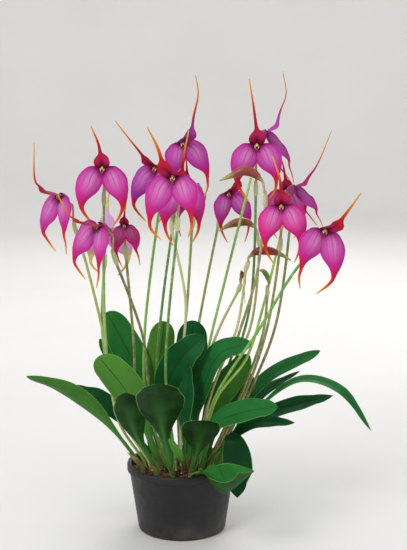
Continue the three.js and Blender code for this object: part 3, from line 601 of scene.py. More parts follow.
# Each leaf: its path above the foot, the way its upper side looks, its width, its painted light (painted
# shade below nought), which makes it paler or darker, and its tip. Then how far it folds up along the
# midrib, and the painted light of its underside, painted shade below nought, where that differs.
LEAVES = {
    "01": [([(-92, -35, 143), (-129, -50, 177), (-169, -60, 194)], (-0.2, 0.5, 0.85), 30, 0.35)],
    "02": [([(-42, 22, 133), (-56, 26, 187), (-87, 32, 247)], (0.3, -0.9, 0.35), 38, 0.5, "round")],
    "03": [
        ([(-76, 42, 178), (-97, 46, 212)], (0.5, -0.6, 0.6), 26, 0.3),
        ([(-84, 22, 136), (-131, 30, 160)], (-0.3, -0.45, 0.85), 26, -0.6, "sharp"),
    ],
    "04": [([(-56, -31, 162), (-91, -36, 211)], (0.2, 0.95, 0.25), 42, 0.75, "round")],
    "05": [([(-27, 32, 166), (-21, 38, 235)], (-0.1, 0.97, 0.2), 33, 0.85, "round")],
    "06": [([(-17, -14, 165), (-2, -22, 203), (26, -27, 232)], (0.2, -0.75, 0.6), 36, -0.2)],
    "07": [([(9, 12, 165), (13, 18, 240)], (0, -0.95, 0.3), 38, -0.1, "round")],
    "08": [([(-20, -75, 143), (-20, -150, 209)], (0, 0.6, 0.8), 52, -1)],
    "09": [([(-50, -55, 127), (-58, -103, 187)], (0, 0.7, 0.7), 34, -0.9)],
    "10": [
        ([(5, -38, 137), (10, -34, 201)], (-0.75, -0.65, 0.1), 26, -0.4, "sharp"),
        ([(-2, -58, 102), (-12, -74, 128)], (0.3, 0.9, 0.3), 11, 0.8),
    ],
    "11": [
        ([(25, -24, 172), (45, -34, 214), (79, -38, 226)], (-0.3, -0.5, 0.8), 38, 0.2),
        ([(36, -14, 147), (76, -20, 209)], (0.4, 0.6, 0.5), 30, 0.3),
    ],
    "12": [
        ([(50, 12, 139), (79, 18, 178)], (-0.35, -0.8, 0.5), 38, 0.1, "round"),
        ([(102, 20, 128), (176, 25, 149)], (-0.2, -0.5, 0.8), 24, -0.5, "sharp"),
    ],
    "13": [
        ([(38, -45, 134), (71, -60, 154), (106, -70, 162)], (0, -0.6, 0.8), 32, 0.3),
        ([(78, -30, 130), (127, -42, 136)], (0, -0.5, 0.85), 20, -0.5, "sharp"),
    ],
    "14": [
        ([(94, 40, 161), (162, 45, 198)], (-0.3, -0.5, 0.8), 22, 0.2),
        ([(95, 65, 139), (141, 75, 166)], (-0.3, -0.4, 0.85), 16, -0.6, "sharp"),
    ],
    "15": [
        ([(92, -5, 146), (136, -10, 177), (179, -18, 167), (215, -25, 121)], (0, -0.3, 0.95), 17, 0.2,
         "sharp"),
    ],
    "16": [
        ([(19, -65, 115), (24, -115, 160)], (0, 0.6, 0.8), 42, -1, "round"),
        # The underside of this lower leaf is darkened with painted shade.
        ([(28, -80, 89), (46, -103, 77), (80, -96, 98)], (0, -0.15, 1), 38, 0.6, "sharp", 1.0, -0.6),
    ],
    "17": [([(57, -48, 118), (61, -68, 104), (62, -80, 62)], (0.2, -0.85, 0.5), 34, -0.9, "sharp")],
    "18": [
        ([(-34, 95, 131), (-42, 140, 164)], (0, -0.5, 0.85), 32, 0.2),
        ([(-64, 80, 116), (-78, 110, 127)], (0, -0.5, 0.85), 30, 0.2),
    ],
    "19": [
        ([(18, 95, 131), (27, 140, 170)], (0, -0.5, 0.85), 32, 0.2),
        ([(57, 90, 126), (76, 120, 137)], (0, -0.5, 0.85), 30, 0.2),
    ],
}
LEAF_ROWS, LEAF_COLUMNS, PLANT_CREASE = 60, 16, 60
RIPPLE, GROOVE_DEPTH, BACK_GROOVE_DEPTH, GROOVE_WIDTH = 0.03, 0.55, 0.75, 0.07
CHANNEL_DEPTH, CHANNEL_WIDTH = 1.0, 0.45
leaf_random = random.Random(23)


def foot_points(foot, low):
    """The lowest points of a shoot: its end in the mix, the surface and a collar where it starts to lean."""
    collar = np.array([foot[0], foot[1], MIX_TOP + 2])
    lean = COLLAR_HEIGHT / max(low[2] - MIX_TOP, COLLAR_HEIGHT * 2)
    rise = (np.array(low) - collar) * lean * 0.5
    return [
        (foot[0], foot[1], MIX_TOP - ROOT_LENGTH),
        (foot[0], foot[1], MIX_TOP - 3),
        tuple(collar),
        (foot[0] + rise[0], foot[1] + rise[1], MIX_TOP + COLLAR_HEIGHT),
    ]


def leaf_skin(foot, shared, path, face, width, pale, tip="plain", fold=0.0, under=None):
    """One leaf from its foot. A leaf that shares its foot starts inside the first one's stalk."""
    half_width = width / 2
    line = grown_line(foot_points(foot, path[0])[2 if shared else 0 :] + path)
    start = 0 if shared else (ROOT_LENGTH + 2) / line["length"]
    inset = SHEATH_WALL if shared else 0
    sections = [(SHEATH_RADIUS - inset, SHEATH_DEPTH - inset, 0)]
    sections += [(half_width * wide, thick, half_width * lift) for wide, thick, lift in LEAF_SECTIONS]
    late, taper = LEAF_TIPS[tip]
    sections[7] = (half_width * late, *sections[7][1:])
    knots = np.arange(9) / 8
    rows = start + (1 - start) * np.sin(np.linspace(0, 1, LEAF_ROWS) * math.pi / 2)
    rows = np.concatenate([[0] if start else [], rows])
    grown = np.clip((rows - start) / (1 - start), 0, 1)
    half, thick, lift = (eased(knots, [one[k] for one in sections], grown) for k in range(3))
    end = np.clip((grown - 7 / 8) * 8, 0, 1)
    half = np.where(end > 0, half_width * late * np.maximum(1 - end**2, 0.0004) ** taper, half)
    thick = thick * np.where(end > 0, np.maximum(1 - end**6, 0.1), 1)
    phase = leaf_random.uniform(0, 6)

    def waves(shares, x):
        grown = np.clip((shares - start) / (1 - start), 0, 1)
        blade_share = np.clip((grown - 0.3) * 4, 0, 1) * np.clip((1 - grown) * 7, 0, 1)
        stalk_share = np.clip((0.4 - grown) * 4, 0, 1) * np.clip(grown * 9, 0, 1)
        ripple = RIPPLE * half_width * np.sin(grown * 13 + phase + 1.4 * np.sign(x))
        ripple = ripple * np.abs(x) ** 3 * blade_share
        groove = np.exp(-((x / GROOVE_WIDTH) ** 2)) * blade_share
        channel = np.exp(-((x / CHANNEL_WIDTH) ** 2)) * stalk_share
        keel = fold * half_width * np.abs(x) ** 1.2 * blade_share + ripple
        return keel - GROOVE_DEPTH * groove - CHANNEL_DEPTH * channel, keel - BACK_GROOVE_DEPTH * groove

    # Painted light for the face, and for the underside where that differs; below nought it is painted shade.
    painted_light_levels = np.full(2 * LEAF_COLUMNS, pale)
    painted_light_levels[LEAF_COLUMNS + 1 :] = pale if under is None else under
    marks = {"along": grown[:, None], "pale": painted_light_levels[None]}
    face = np.array(face, float) / np.linalg.norm(face)
    return blade(line, rows, half, thick, lift, face, columns=LEAF_COLUMNS, waves=waves, marks=marks)


def sheath_skin(line, start, length, radius, depth, lean, finish, colour=None, belly=0.0):
    """A thin torn sheath about a stalk, from a distance along its line, longest on the side that it leans
    to. belly is how much it swells below its middle."""
    size, rows, wall, lining = 18, 9, 0.32, 0.02
    angles = np.arange(size) * 2 * math.pi / size
    torn = np.array([leaf_random.uniform(0.93, 1.05) for _ in angles])
    reach = length * (0.72 + 0.28 * np.cos(angles - lean)) * torn
    shares = np.linspace(0, 1, rows)
    rings = []
    for share, out in [(s, wall) for s in shares] + [(s, lining) for s in shares[::-1]]:
        distances = start + reach * share
        place, along = along_line(line, distances)
        side = np.cross(along, (0.31, 0.95, 0))
        side /= np.linalg.norm(side, axis=1, keepdims=True)
        front = np.cross(side, along)
        flare = 1 + 0.16 * share**2 + belly * math.sin(math.pi * share**0.8)
        rings.append(
            place + side * ((radius + out) * flare * np.cos(angles))[:, None]
            + front * ((depth + out) * flare * np.sin(angles))[:, None]
        )
    both = np.concatenate([shares, shares[::-1]])[:, None]
    marks = {"along": both, "across": (angles / math.pi - 1)[None], "upper": [[1.0]]}
    if colour is not None:
        marks["hue"] = np.broadcast_to(colour, (2 * rows, size, 3))
    return skin(rings, marks, finish, wrap=True)


for number, group in LEAVES.items():
    node = f"leaf_{number}"
    foot = foot_of(node)
    skins = [leaf_skin(foot, n > 0, *row) for n, row in enumerate(group)]
    stalk_line = grown_line(foot_points(foot, group[0][0][0]) + group[0][0])
    length = leaf_random.uniform(*SHEATH_LENGTHS)
    lean = leaf_random.uniform(0, 6.28)
    radius, depth = SHEATH_RADIUS + 0.1, SHEATH_DEPTH / 2 + 0.55
    sheath = sheath_skin(stalk_line, SHEATH_START, length, radius, depth, lean, 1)
    sheath["marks"]["dry"] = np.full(len(sheath["points"]), leaf_random.choice(DRYNESS))
    skins.append(sheath)
    add_piece(f"leaf_blade_{number}", skins, [leaf_finish, sheath_finish], [node], PLANT_CREASE)

# Scapes. Each flower stands alone on a wiry green stem with a short sheath low down. At the joint a papery
# bract wraps the start of a thinner brown stalk, which bends over into the flower's ovary.
stem_finish, tree, shader = new_finish("wiry_stem", Specular_IOR_Level=0.45)
hue = mark_of(tree, "hue", "Color")
lines = mottle(tree, 900, 0.35, 0.65, 3, (1, 1, 0.05))
colour = blend(tree, times(tree, lines, 0.22), hue, dye("33401a"))
colour = blend(tree, times(tree, mottle(tree, 160, 0.5, 0.8), 0.45), colour, dye("ece6b0"))
feed(tree, shader.inputs["Base Color"], colour)
feed(tree, shader.inputs["Roughness"], spread(tree, lines, 0, 1, 0.36, 0.52))
relief(tree, shader, lines, 0.25, 0.0003)

bract_finish, tree, shader = new_finish("papery_bract", Roughness=0.6)
hue = mark_of(tree, "hue", "Color")
lines = ribs(tree, 42, low=-0.4)
colour = blend(tree, times(tree, lines, 0.25), hue, dye("7a8444"))
colour = blend(tree, spread(tree, mark_of(tree, "along"), 0.75, 1, 0, 0.6), colour, dye("b09868"))
feed(tree, shader.inputs["Base Color"], colour)
relief(tree, shader, lines, 0.4)

TUBE_FOOT, TUBE_DROP = (0, 14, -7), (0, 0.8, -0.6)
FIT, BRACT_LENGTH, STEM_RADIUS, PEDICEL_RADIUS, PEDICEL_END = 0.3, 15, 1.6, 1.25, 5
# Each flower: its throat's place, turn, roll and size, and how far its lateral blades reach forward. Points
# in a bloom are (right, back, up) from the throat: the ends of the lateral blades, right and up alone, and
# of their tails, the hood's lip, the bend and tip of the upper tail. Then its stem's points, the stem's
# colour below and above, how crimson and violet the bloom is, and how dark, partly its colour and partly
# painted shade toward the throat. veil makes its hood purple, its paleness makes its backs and tails light,
# and red keeps its upper tail from yellowing early.
PLAIN_TIPS = [(-21.8, -40.5), (21.8, -40.5)]
PLAIN_TAILS = [(-11, -10, -61), (11, -10, -61)]
FLOWERS = [
    {"at": (-135, -10, 385), "turn": -47, "tips": [(-20, -40), (18, -40)],
     "tails": [(6, -10, -59), (25, -10, -60)], "hood": (0, -19, 9), "bend": (0, -31, 20),
     "tip": (0, -32, 62), "stem": [(-72, 1, 124), (-89, 1, 229), (-109, 2, 316), (-117, 2, 342)],
     "green": ("9cbc50", "aab860"), "violet": 0.2},
    {"at": (-84, -45, 419), "turn": 0, "tails": [(-7, -10, -61), (11, -10, -61)], "bend": (-3, -14, 30),
     "tip": (-10.5, -10, 47.5), "stem": [(-75, -11, 146), (-85, -17, 229), (-84, -26, 380)],
     "green": ("c0d888", "74a84c"), "red": 1.0},
    {"at": (-88, -70, 360), "turn": -50, "size": 1.1, "tips": [(-29, -37), (12, -39)],
     "tails": [(-7, -10, -51), (11, -10, -57)], "hood": (0, -20, 7), "bend": (0, -32, 14),
     "tip": (0, -45, 35), "stem": [(-35, -28, 162), (-42, -42, 235), (-69, -57, 319)],
     "green": ("76843c", "6c7636")},
    {"at": (-85, 25, 343), "turn": 180, "tips": [(-23, -36), (19.6, -38)],
     "tails": [(-11, -10, -54), (10, -10, -51)], "bend": (0, -14, 28), "tip": (-3, -12, 46),
     "stem": [(-70, 4, 134), (-90, 5, 225), (-87, 7, 304)], "green": ("98bc54", "9cbc5c"), "veil": 1.0,
     "pale": 1.0},
    {"at": (-62, -25, 354.5), "turn": 0, "size": 0.62, "reach": 13, "tips": [(-14, -42), (20, -38)],
     "tails": [(-3, -14, -72), (28, -14, -68)], "bend": (2, -12, 32), "tip": (7, -10, 56),
     "stem": [(-50, -7, 155), (-54, -10, 226), (-61, -14, 318)], "green": ("7a6a34", "8a8a48"),
     "crimson": 1.0, "dark": 0.65},
    {"at": (-29, 0, 415), "turn": -35, "tips": [(-24, -41), (20, -40)],
     "tails": [(-6, -10, -57), (12, -10, -58)], "hood": (0, -14, 12), "bend": (-8, -26, 28),
     "tip": (-27, -36, 55), "stem": [(-41, 6, 150), (-42, 9, 229), (-24, 15, 375)],
     "green": ("9cdc60", "80c054"), "violet": 0.75, "dark": 0.1},
    {"at": (-7, -85, 413), "turn": -17, "roll": -3, "size": 1.1, "tips": [(-23, -44), (18.6, -38)],
     "tails": [(-11.5, -10, -57), (15.5, -10, -55)], "hood": (-4, -12, 13), "bend": (-8, -18, 33),
     "tip": (-14, -25, 51), "stem": [(-17, -34, 186), (-14, -46, 250), (-3, -66, 357)],
     "green": ("72a848", "5c9040")},
    {"at": (1, -38, 400), "turn": 5, "tips": [(-18.4, -41), (18.4, -41)],
     "tails": [(-10, -10, -63), (11, -10, -60)], "bend": (2, -14, 36), "tip": (7.6, -8, 61),
     "stem": [(-1, 2, 180), (5, -8, 267), (-10, -20, 350)], "green": ("dce0a8", "ccd694")},
    {"at": (1, 32, 440), "turn": 25, "tips": [(-14, -37), (28, -42)],
     "tails": [(-5, -10, -56), (23, -10, -59)], "hood": (3.7, -13, 13), "bend": (12, -17, 58),
     "tip": (12, -10, 78), "stem": [(-29, 20, 168), (-22, 31, 261), (-2, 48, 402)],
     "green": ("68a448", "68a448"), "violet": 0.3, "veil": 0.9},
    {"at": (83, -25, 442), "turn": 0, "size": 1.05, "tips": [(-20, -36), (20, -38)],
     "tails": [(-8, -10, -56), (13, -10, -53)], "bend": (-4, -14, 41), "tip": (-8.5, -6, 70),
     "stem": [(57, -3, 184), (78, -4, 265), (83, -6, 388)], "green": ("64a044", "549038"), "violet": 0.15,
     "red": 0.5},
    {"at": (98, 38, 452), "turn": 104, "reach": 20, "tips": [(-19, -36), (19, -38)],
     "tails": [(-11, -28, -55), (11, -34, -60)], "hood": (0, -8, 10), "bend": (0, -21, 44),
     "tip": (0, -17, 70), "stem": [(29, 14, 199), (51, 21, 292), (83, 30, 420)],
     "green": ("8cc854", "98d45c"), "violet": 0.35, "veil": 0.9},
    {"at": (54, 58, 380), "turn": 25, "size": 0.85, "tips": [(-15, -42), (27, -40)],
     "tails": [(-6, -10, -64), (20, -10, -65)], "hood": (6, -13, 15), "bend": (9, -16, 38),
     "tip": (13, -14, 70), "stem": [(9, 32, 152), (20, 49, 232), (42, 72, 341)],
     "green": ("94a44c", "98ac54"), "violet": 0.4},
    {"at": (118, 32, 386), "turn": 3, "size": 0.85, "bend": (-4, -14, 34), "tip": (-10, -10, 56),
     "stem": [(39, -31, 160), (72, -28, 205), (93, 18, 255), (117, 47, 348)],
     "green": ("a4d058", "aad45c"), "crimson": 0.6, "dark": 0.1, "red": 1.0},
    {"at": (108, -62, 380), "turn": 0, "tips": [(-17, -40), (20, -36)],
     "tails": [(-8, -10, -59), (14, -10, -58)], "bend": (-3, -14, 34), "tip": (-10.6, -8, 56),
     "stem": [(74, -22, 170), (96, -30, 243), (108, -44, 332)], "green": ("847c40", "8c8c48"),
     "crimson": 0.7},
    {"at": (153, -80, 356), "turn": 12, "roll": 14, "size": 1.05, "tips": [(-17, -42), (18, -44)],
     "tails": [(-13.7, -10, -60), (4, -10, -62)], "hood": (7, -12, 11), "bend": (14, -20, 33),
     "tip": (20, -20, 48), "stem": [(38, -42, 165), (85, -60, 246), (125, -63, 314), (147, -62, 338)],
     "green": ("84b848", "5ca040")},
    {"at": (128, -5, 394), "turn": 106, "size": 0.95, "reach": 19, "tips": [(-18, -28), (18, -28)],
     "tails": [(-10, -30, -44), (11, -31, -46)], "hood": (0, -8, 7), "bend": (0, -25, 27),
     "tip": (0, -43, 67), "stem": [(84, -4, 176), (107, -8, 243), (121, -12, 356)],
     "green": ("847444", "78843e"), "violet": 0.2, "veil": 0.4},
    {"at": (12, 62, 389), "turn": -118, "size": 0.95,
     "stem": [(-5, 30, 160), (5, 38, 243), (12, 50, 344)], "green": ("98a858", "98a858"), "crimson": 0.8,
     "dark": 0.6},
]
PLAIN_FLOWER = {
    "roll": 0, "size": 1, "reach": 8, "tips": PLAIN_TIPS, "tails": PLAIN_TAILS, "hood": (0, -6, 14),
    "bend": (0, -8, 30), "tip": (0, -10, 55),
    "crimson": 0, "violet": 0, "dark": 0, "veil": 0, "pale": 0, "red": 0,
}
STEM_SIDES = 12


def bloom_frame(flower):
    """How a bloom stands: leaned, then turned, and set at its throat's place."""
    turn, roll = math.radians(flower["turn"]), math.radians(flower["roll"])
    turned_by = [[math.cos(turn), -math.sin(turn), 0], [math.sin(turn), math.cos(turn), 0], [0, 0, 1]]
    rolled_by = [[math.cos(roll), 0, math.sin(roll)], [0, 1, 0], [-math.sin(roll), 0, math.cos(roll)]]
    return np.array(turned_by) @ np.array(rolled_by) * flower["size"], np.array(flower["at"], float)


def rod(line, distances, radii, marks=None, finish=0, sides=STEM_SIDES, wobble=None):
    """A round rod on a line, with a radius at each distance along it."""
    centre, along = along_line(line, distances)
    side = np.cross(along, (0.31, 0.95, 0.02))
    side /= np.linalg.norm(side, axis=1, keepdims=True)
    front = np.cross(side, along)
    angles = np.arange(sides) * 2 * math.pi / sides
    reach = np.asarray(radii, float)[:, None] * (1 if wobble is None else wobble(angles)[None])
    to_side, to_front = (reach * np.cos(angles))[..., None], (reach * np.sin(angles))[..., None]
    rings = centre[:, None] + side[:, None] * to_side + front[:, None] * to_front
    return skin(rings, {"across": (angles / math.pi - 1)[None], **(marks or {})}, finish)


def scape_skins(foot, stem, end, way, greens):
    """A stem with its low sheath, its bract and the stalk above, whose end comes in along a way."""
    low_hue, high_hue = (np.array(dye(code)[:3]) for code in greens)
    stem = [np.array(point, float) for point in stem]
    joint, climb = stem[-1], stem[-1] - stem[-2]
    to_end = end - joint
    rise = climb / np.linalg.norm(climb) + to_end / np.linalg.norm(to_end)
    bract_top = joint + rise / np.linalg.norm(rise) * min(BRACT_LENGTH, 0.55 * np.linalg.norm(to_end))
    approach = end + way * PEDICEL_END
    swell = joint + 0.15 * (bract_top - joint)
    mouth = bract_top + 0.12 * (approach - bract_top)
    points = [*foot_points(foot, stem[0]), *stem, swell, bract_top, mouth, approach, end]
    line = grown_line(points)
    knots = np.array([line["lengths"][LINE_STEPS * k] for k in range(len(points))])
    at_joint, at_bract, at_end = knots[-6], knots[-4], knots[-1]
    stem_rows = np.linspace(0, at_joint, max(12, int(at_joint / 7)))
    stem_rows = np.concatenate([stem_rows, at_joint + np.array([0.6, 1.2])])
    rise_share = stem_rows / at_joint
    changes = [0, at_joint * 0.1, at_joint - 1.5, at_joint - 0.4, at_joint + 0.6, at_joint + 1.2]
    radii = [1.75, STEM_RADIUS + 0.05, STEM_RADIUS - 0.1, STEM_RADIUS + 0.25, STEM_RADIUS + 0.2, 1.2]
    radii = np.interp(stem_rows, changes, radii)
    hues = low_hue + (high_hue - low_hue) * np.clip(rise_share * 1.4 - 0.3, 0, 1)[:, None]
    hues = hues + (np.array(dye("c6cf92")[:3]) - hues) * np.clip((rise_share - 0.975) * 30, 0, 0.7)[:, None]
    marks = {"hue": np.broadcast_to(hues[:, None], (len(hues), STEM_SIDES, 3))}
    skins = [rod(line, stem_rows, radii, marks)]
    stalk_rows = np.linspace(at_joint + 0.2, at_end, max(8, int((at_end - at_joint) / 3.5)))
    left = at_end - stalk_rows
    radii = PEDICEL_RADIUS + 0.55 * np.exp(-(((left - 2.6) / 2.6) ** 2))
    brown, ovary = np.array(dye("c4a878")[:3]), np.array(dye("8f8440")[:3])
    hues = brown + (ovary - brown) * np.exp(-((left / 5) ** 2))[:, None]
    marks = {"hue": np.broadcast_to(hues[:, None], (len(hues), STEM_SIDES, 3))}
    skins.append(rod(line, stalk_rows, radii, marks, wobble=lambda a: 1 + 0.06 * np.cos(6 * a)))
    length = (at_bract - at_joint) * 1.15
    colour = np.array(dye("ced698")[:3]) * leaf_random.uniform(0.88, 1.08)
    lean = leaf_random.uniform(-2.6, -0.5)
    skins.append(sheath_skin(line, at_joint - 1.2, length, 1.75, 1.7, lean, 1, colour, 0.3))
    low_start = at_joint * leaf_random.uniform(0.2, 0.34)
    colour = low_hue * 0.5 + np.array(dye("b8c078")[:3]) * 0.5
    length, lean = leaf_random.uniform(13, 19), leaf_random.uniform(0, 6)
    skins.append(sheath_skin(line, low_start, length, 1.68, 1.68, lean, 1, colour))
    return skins


for number, row in enumerate(FLOWERS, 1):
    flower = {**PLAIN_FLOWER, **row}
    turn, throat = bloom_frame(flower)
    way = turn @ np.array(TUBE_DROP) / flower["size"]
    end = turn @ np.array(TUBE_FOOT) + throat + way * 2 * FIT
    node = f"scape_{number:02d}"
    skins = scape_skins(foot_of(node), flower["stem"], end, way, flower["green"])
    add_piece(f"scape_stem_{number:02d}", skins, [stem_finish, bract_finish], [node], PLANT_CREASE)


# Blooms. Three sepals grow together into a tube behind the throat. Two spread into broad blades, the third
# is a small hood, and each is drawn out into a tail. Small cream petals and the column stand in the throat.
sepal_finish, tree, shader = new_finish("sepal_skin", Specular_IOR_Level=0.05)
along, across, upper, lobe = (mark_of(tree, name) for name in ("along", "across", "upper", "lobe"))
BLOOM_MARKS = ("crimson", "violet", "dark", "veil", "pale", "red")
crimson, violet, dark, veil, pale, red = (mark_of(tree, name) for name in BLOOM_MARKS)


def ramp(tree, share, stops):
    """Colours from stop to stop along a share."""
    made = put(tree, "ShaderNodeValToRGB", Fac=share)
    elements = made.color_ramp.elements
    while len(elements) < len(stops):
        elements.new(0.5)
    for element, (place, code) in zip(elements, stops):
        element.position = place
        element.color = dye(code)
    return made.outputs["Color"]


# The lateral blade's colours from root to tail; the dark maroon at its root is partly its colour, partly
# painted shade in the throat.
blade_colour_and_throat_shade = ramp(tree, along, [
    (0, "5c1038"), (0.04, "8a1c60"), (0.1, "aa2a84"), (0.3, "bc3496"), (0.5, "bc2a86"), (0.57, "c41c5c"),
    (0.64, "c81e38"), (0.74, "cc341a"), (0.86, "dc701a"), (1, "dca830"),
])
# The hood's colours from root to tail; the near-black at its root is painted shade where it meets the blades
# in the throat.
ripe = calc(tree, "SUBTRACT", along, times(tree, red, spread(tree, along, 0.22, 0.5, 0, 0.2)))
hood_colour_and_throat_shade = ramp(tree, ripe, [
    (0, "3a0818"), (0.08, "981846"), (0.2, "bc2c5c"), (0.32, "b41e38"), (0.44, "b8261c"), (0.56, "cc501a"),
    (0.72, "dc801c"), (1, "d8a830"),
])
from_middle = calc(tree, "ABSOLUTE", across)
VEIN_COUNT = 13.5
main_veins = ribs(tree, VEIN_COUNT, HALF_PI, 0.6, 1.0)
fine_veins = streaks(tree, 11, 1.6, 0.35, 0.7)
open_blade = times(tree, spread(tree, along, 0.06, 0.18), spread(tree, along, 0.6, 0.48))
# A pale lilac band down the middle of each blade, streaked by the fine veins: partly its colour, partly a
# painted satin sheen.
lilac_zone_and_painted_sheen = times(tree, spread(tree, from_middle, 0.9, 0.15), spread(tree, along, 0.48, 0.26))
lilac_zone_and_painted_sheen = times(tree, lilac_zone_and_painted_sheen, spread(tree, along, 0.05, 0.16))
body = blend(tree, times(tree, violet, open_blade), blade_colour_and_throat_shade, dye("9a34a6"))
body = blend(tree, times(tree, crimson, times(tree, open_blade, 0.9)), body, dye("d42474"))
body = blend(tree, times(tree, lilac_zone_and_painted_sheen, spread(tree, fine_veins, 0, 1, 0.35, 0.85)), body, dye("d48cc6"))
vein_share = times(tree, spread(tree, along, 0.5, 0.12, 0, 0.5), spread(tree, along, 0.04, 0.1))
body = blend(tree, times(tree, main_veins, vein_share), body, dye("94187a"))
# A bright pink line along the margins of the blades: partly its colour, partly a painted highlight.
edge = times(tree, spread(tree, from_middle, 0.93, 0.99), open_blade)
body = blend(tree, times(tree, edge, 0.7), body, dye("e8349a"))
wedge = times(tree, spread(tree, from_middle, 0.45, 0.05), spread(tree, mark_of(tree, "hooded"), 1.1, 0.3))
front = times(tree, wedge, 0.9, upper)
hood = blend(tree, times(tree, veil, spread(tree, along, 0.5, 0.3)), hood_colour_and_throat_shade, dye("a8449c"))
hood = blend(tree, front, hood, dye("4a0a14"))
colour = blend(tree, lobe, body, hood)
back = times(tree, without(tree, upper), spread(tree, along, 0.6, 0.45))
back_share = times(tree, back, without(tree, times(tree, lobe, 0.9)))
colour = blend(tree, times(tree, back_share, 0.5), colour, dye("a850a4"))
hood_back = times(tree, back, lobe, without(tree, veil))
colour = blend(tree, times(tree, hood_back, 0.75), colour, dye("8c1438"))
colour = blend(tree, times(tree, back, pale), colour, dye("d8a4d4"))
colour = blend(tree, times(tree, pale, spread(tree, along, 0.46, 0.6)), colour, dye("dcc46a"))
# Darker toward the middle of each blade and toward the throat by the bloom's dark mark: partly deep colour,
# partly painted shade.
shade = times(tree, spread(tree, from_middle, 1, 0.3, 0.5, 0.9), spread(tree, along, 0.56, 0.42, 0.1))
colour = blend(tree, times(tree, dark, shade), colour, dye("520624"))
feed(tree, shader.inputs["Base Color"], colour)
feed(tree, shader.inputs["Roughness"], spread(tree, mottle(tree, 260, detail=4), 0, 1, 0.5, 0.62))
height = calc(tree, "SUBTRACT", grain(tree, 1500), times(tree, main_veins, 0.8))
relief(tree, shader, calc(tree, "SUBTRACT", height, times(tree, fine_veins, 0.4)), 0.3, 0.0003)

tube_finish, tree, shader = new_finish("sepal_tube", Specular_IOR_Level=0.4, Roughness=0.5)
lines = ribs(tree, 28.3, low=0.3)
colour = ramp(tree, mark_of(tree, "along"), [
    (0, "7a1444"), (0.25, "a03080"), (0.6, "a84c70"), (0.85, "a8784c"), (1, "94903e"),
])
feed(tree, shader.inputs["Base Color"], blend(tree, times(tree, lines, 0.35), colour, dye("5c1440")))
relief(tree, shader, lines, 0.3)

throat_finish, tree, shader = new_finish("throat_shadow", Roughness=0.7, Specular_IOR_Level=0.05)
feed(tree, shader.inputs["Base Color"], blend(tree, mottle(tree, 700), dye("44081c"), dye("6e1034")))

column_finish, tree, shader = new_finish("cream_column", Roughness=0.45)
colour = blend(tree, mottle(tree, 1000, 0.5, 0.56, 2), dye("e8d8a4"), dye("8c2a48"))
tip_share = spread(tree, mark_of(tree, "along"), 0.7, 1, 0, 0.6)
feed(tree, shader.inputs["Base Color"], blend(tree, tip_share, colour, dye("c8a860")))

lip_finish, tree, shader = new_finish("lip_skin", Roughness=0.5)
colour = blend(tree, mottle(tree, 1200, 0.4, 0.6), dye("6a1038"), dye("a82a58"))
feed(tree, shader.inputs["Base Color"], colour)

# Sections from root to tip: the half width, the thickness and the lift of the margins
LATERAL_SECTIONS = [
    (3, 1.1, 0), (10, 1.1, -2), (13.6, 1.1, -3), (10.6, 1.2, -2.4), (4.8, 1.3, -1), (1.9, 1.5, -0.2),
    (1.3, 1.4, 0), (0.6, 1.1, 0),
]
DORSAL_SECTIONS = [
    (5, 1.2, 0), (8.6, 1.2, 3), (5.2, 1.5, 1.6), (1.7, 1.6, 0.2), (1.5, 1.5, 0), (1.1, 1.3, 0),
    (0.6, 1.1, 0),
]
LATERAL_LINE = np.array([
    (10.5, -2, -5.5), (14.5, -5, -15.5), (18.8, -7, -24.5), (21, -8, -31.5), (21.8, -8, -40.5),
])
LATERAL_ROOT, DORSAL_ROOT, TAIL_BOW, THINNING = (4.5, 2.5, 2), (0, 2.5, 2), 1.5, 0.85
# Half widths at shares of the length: of a lateral blade toward the outside and toward the other one, and
# of the hood at shares of the way to its lip
EDGE_SHARES = [0, 0.07, 0.143, 0.214, 0.286, 0.36, 0.43, 0.5, 0.57, 0.64, 0.71, 0.86, 1]
OUTER_EDGE = list(zip(EDGE_SHARES, [3, 8.4, 11.2, 13.6, 14, 12.9, 10.8, 8, 5, 2.8, 1.8, 1.25, 0.55]))
INNER_EDGE = list(zip(EDGE_SHARES, [7, 10.8, 13.3, 13.6, 12.8, 11.2, 9, 6.4, 3.9, 2.4, 1.7, 1.2, 0.55]))
HOOD_EDGE = [(0, 6), (0.33, 7.7), (0.65, 8.7), (0.95, 7.9), (1.15, 5.9), (1.32, 3.1), (1.5, 1.95), (2, 1.5)]
SEPAL_ROWS, SEPAL_COLUMNS = 54, 16
CAMBER, EDGE_RIPPLE, VEIN_DEPTH, HOOD_FOLD, HOOD_ARCH = 1.3, 0.35, 0.16, 0.9, 0.8
bloom_random = random.Random(5)


def sepal(line, sections, widths, face=None, across=None, marks=None, waves=None):
    """A sepal from its sections, and from the half widths on its two sides as lists of share and width."""
    rows = np.linspace(0, 1, SEPAL_ROWS)
    knots = np.linspace(0, 1, len(sections))
    thick, lift = (eased(knots, [one[k] for one in sections], rows) for k in (1, 2))
    blunt = np.clip((1.012 - rows) / 0.03, 0.3, 1)
    half, other = (eased(*zip(*side), rows) * blunt for side in widths)
    thick = thick * THINNING
    return blade(line, rows, half, thick, lift, face, across, SEPAL_COLUMNS, waves, marks, other=other)


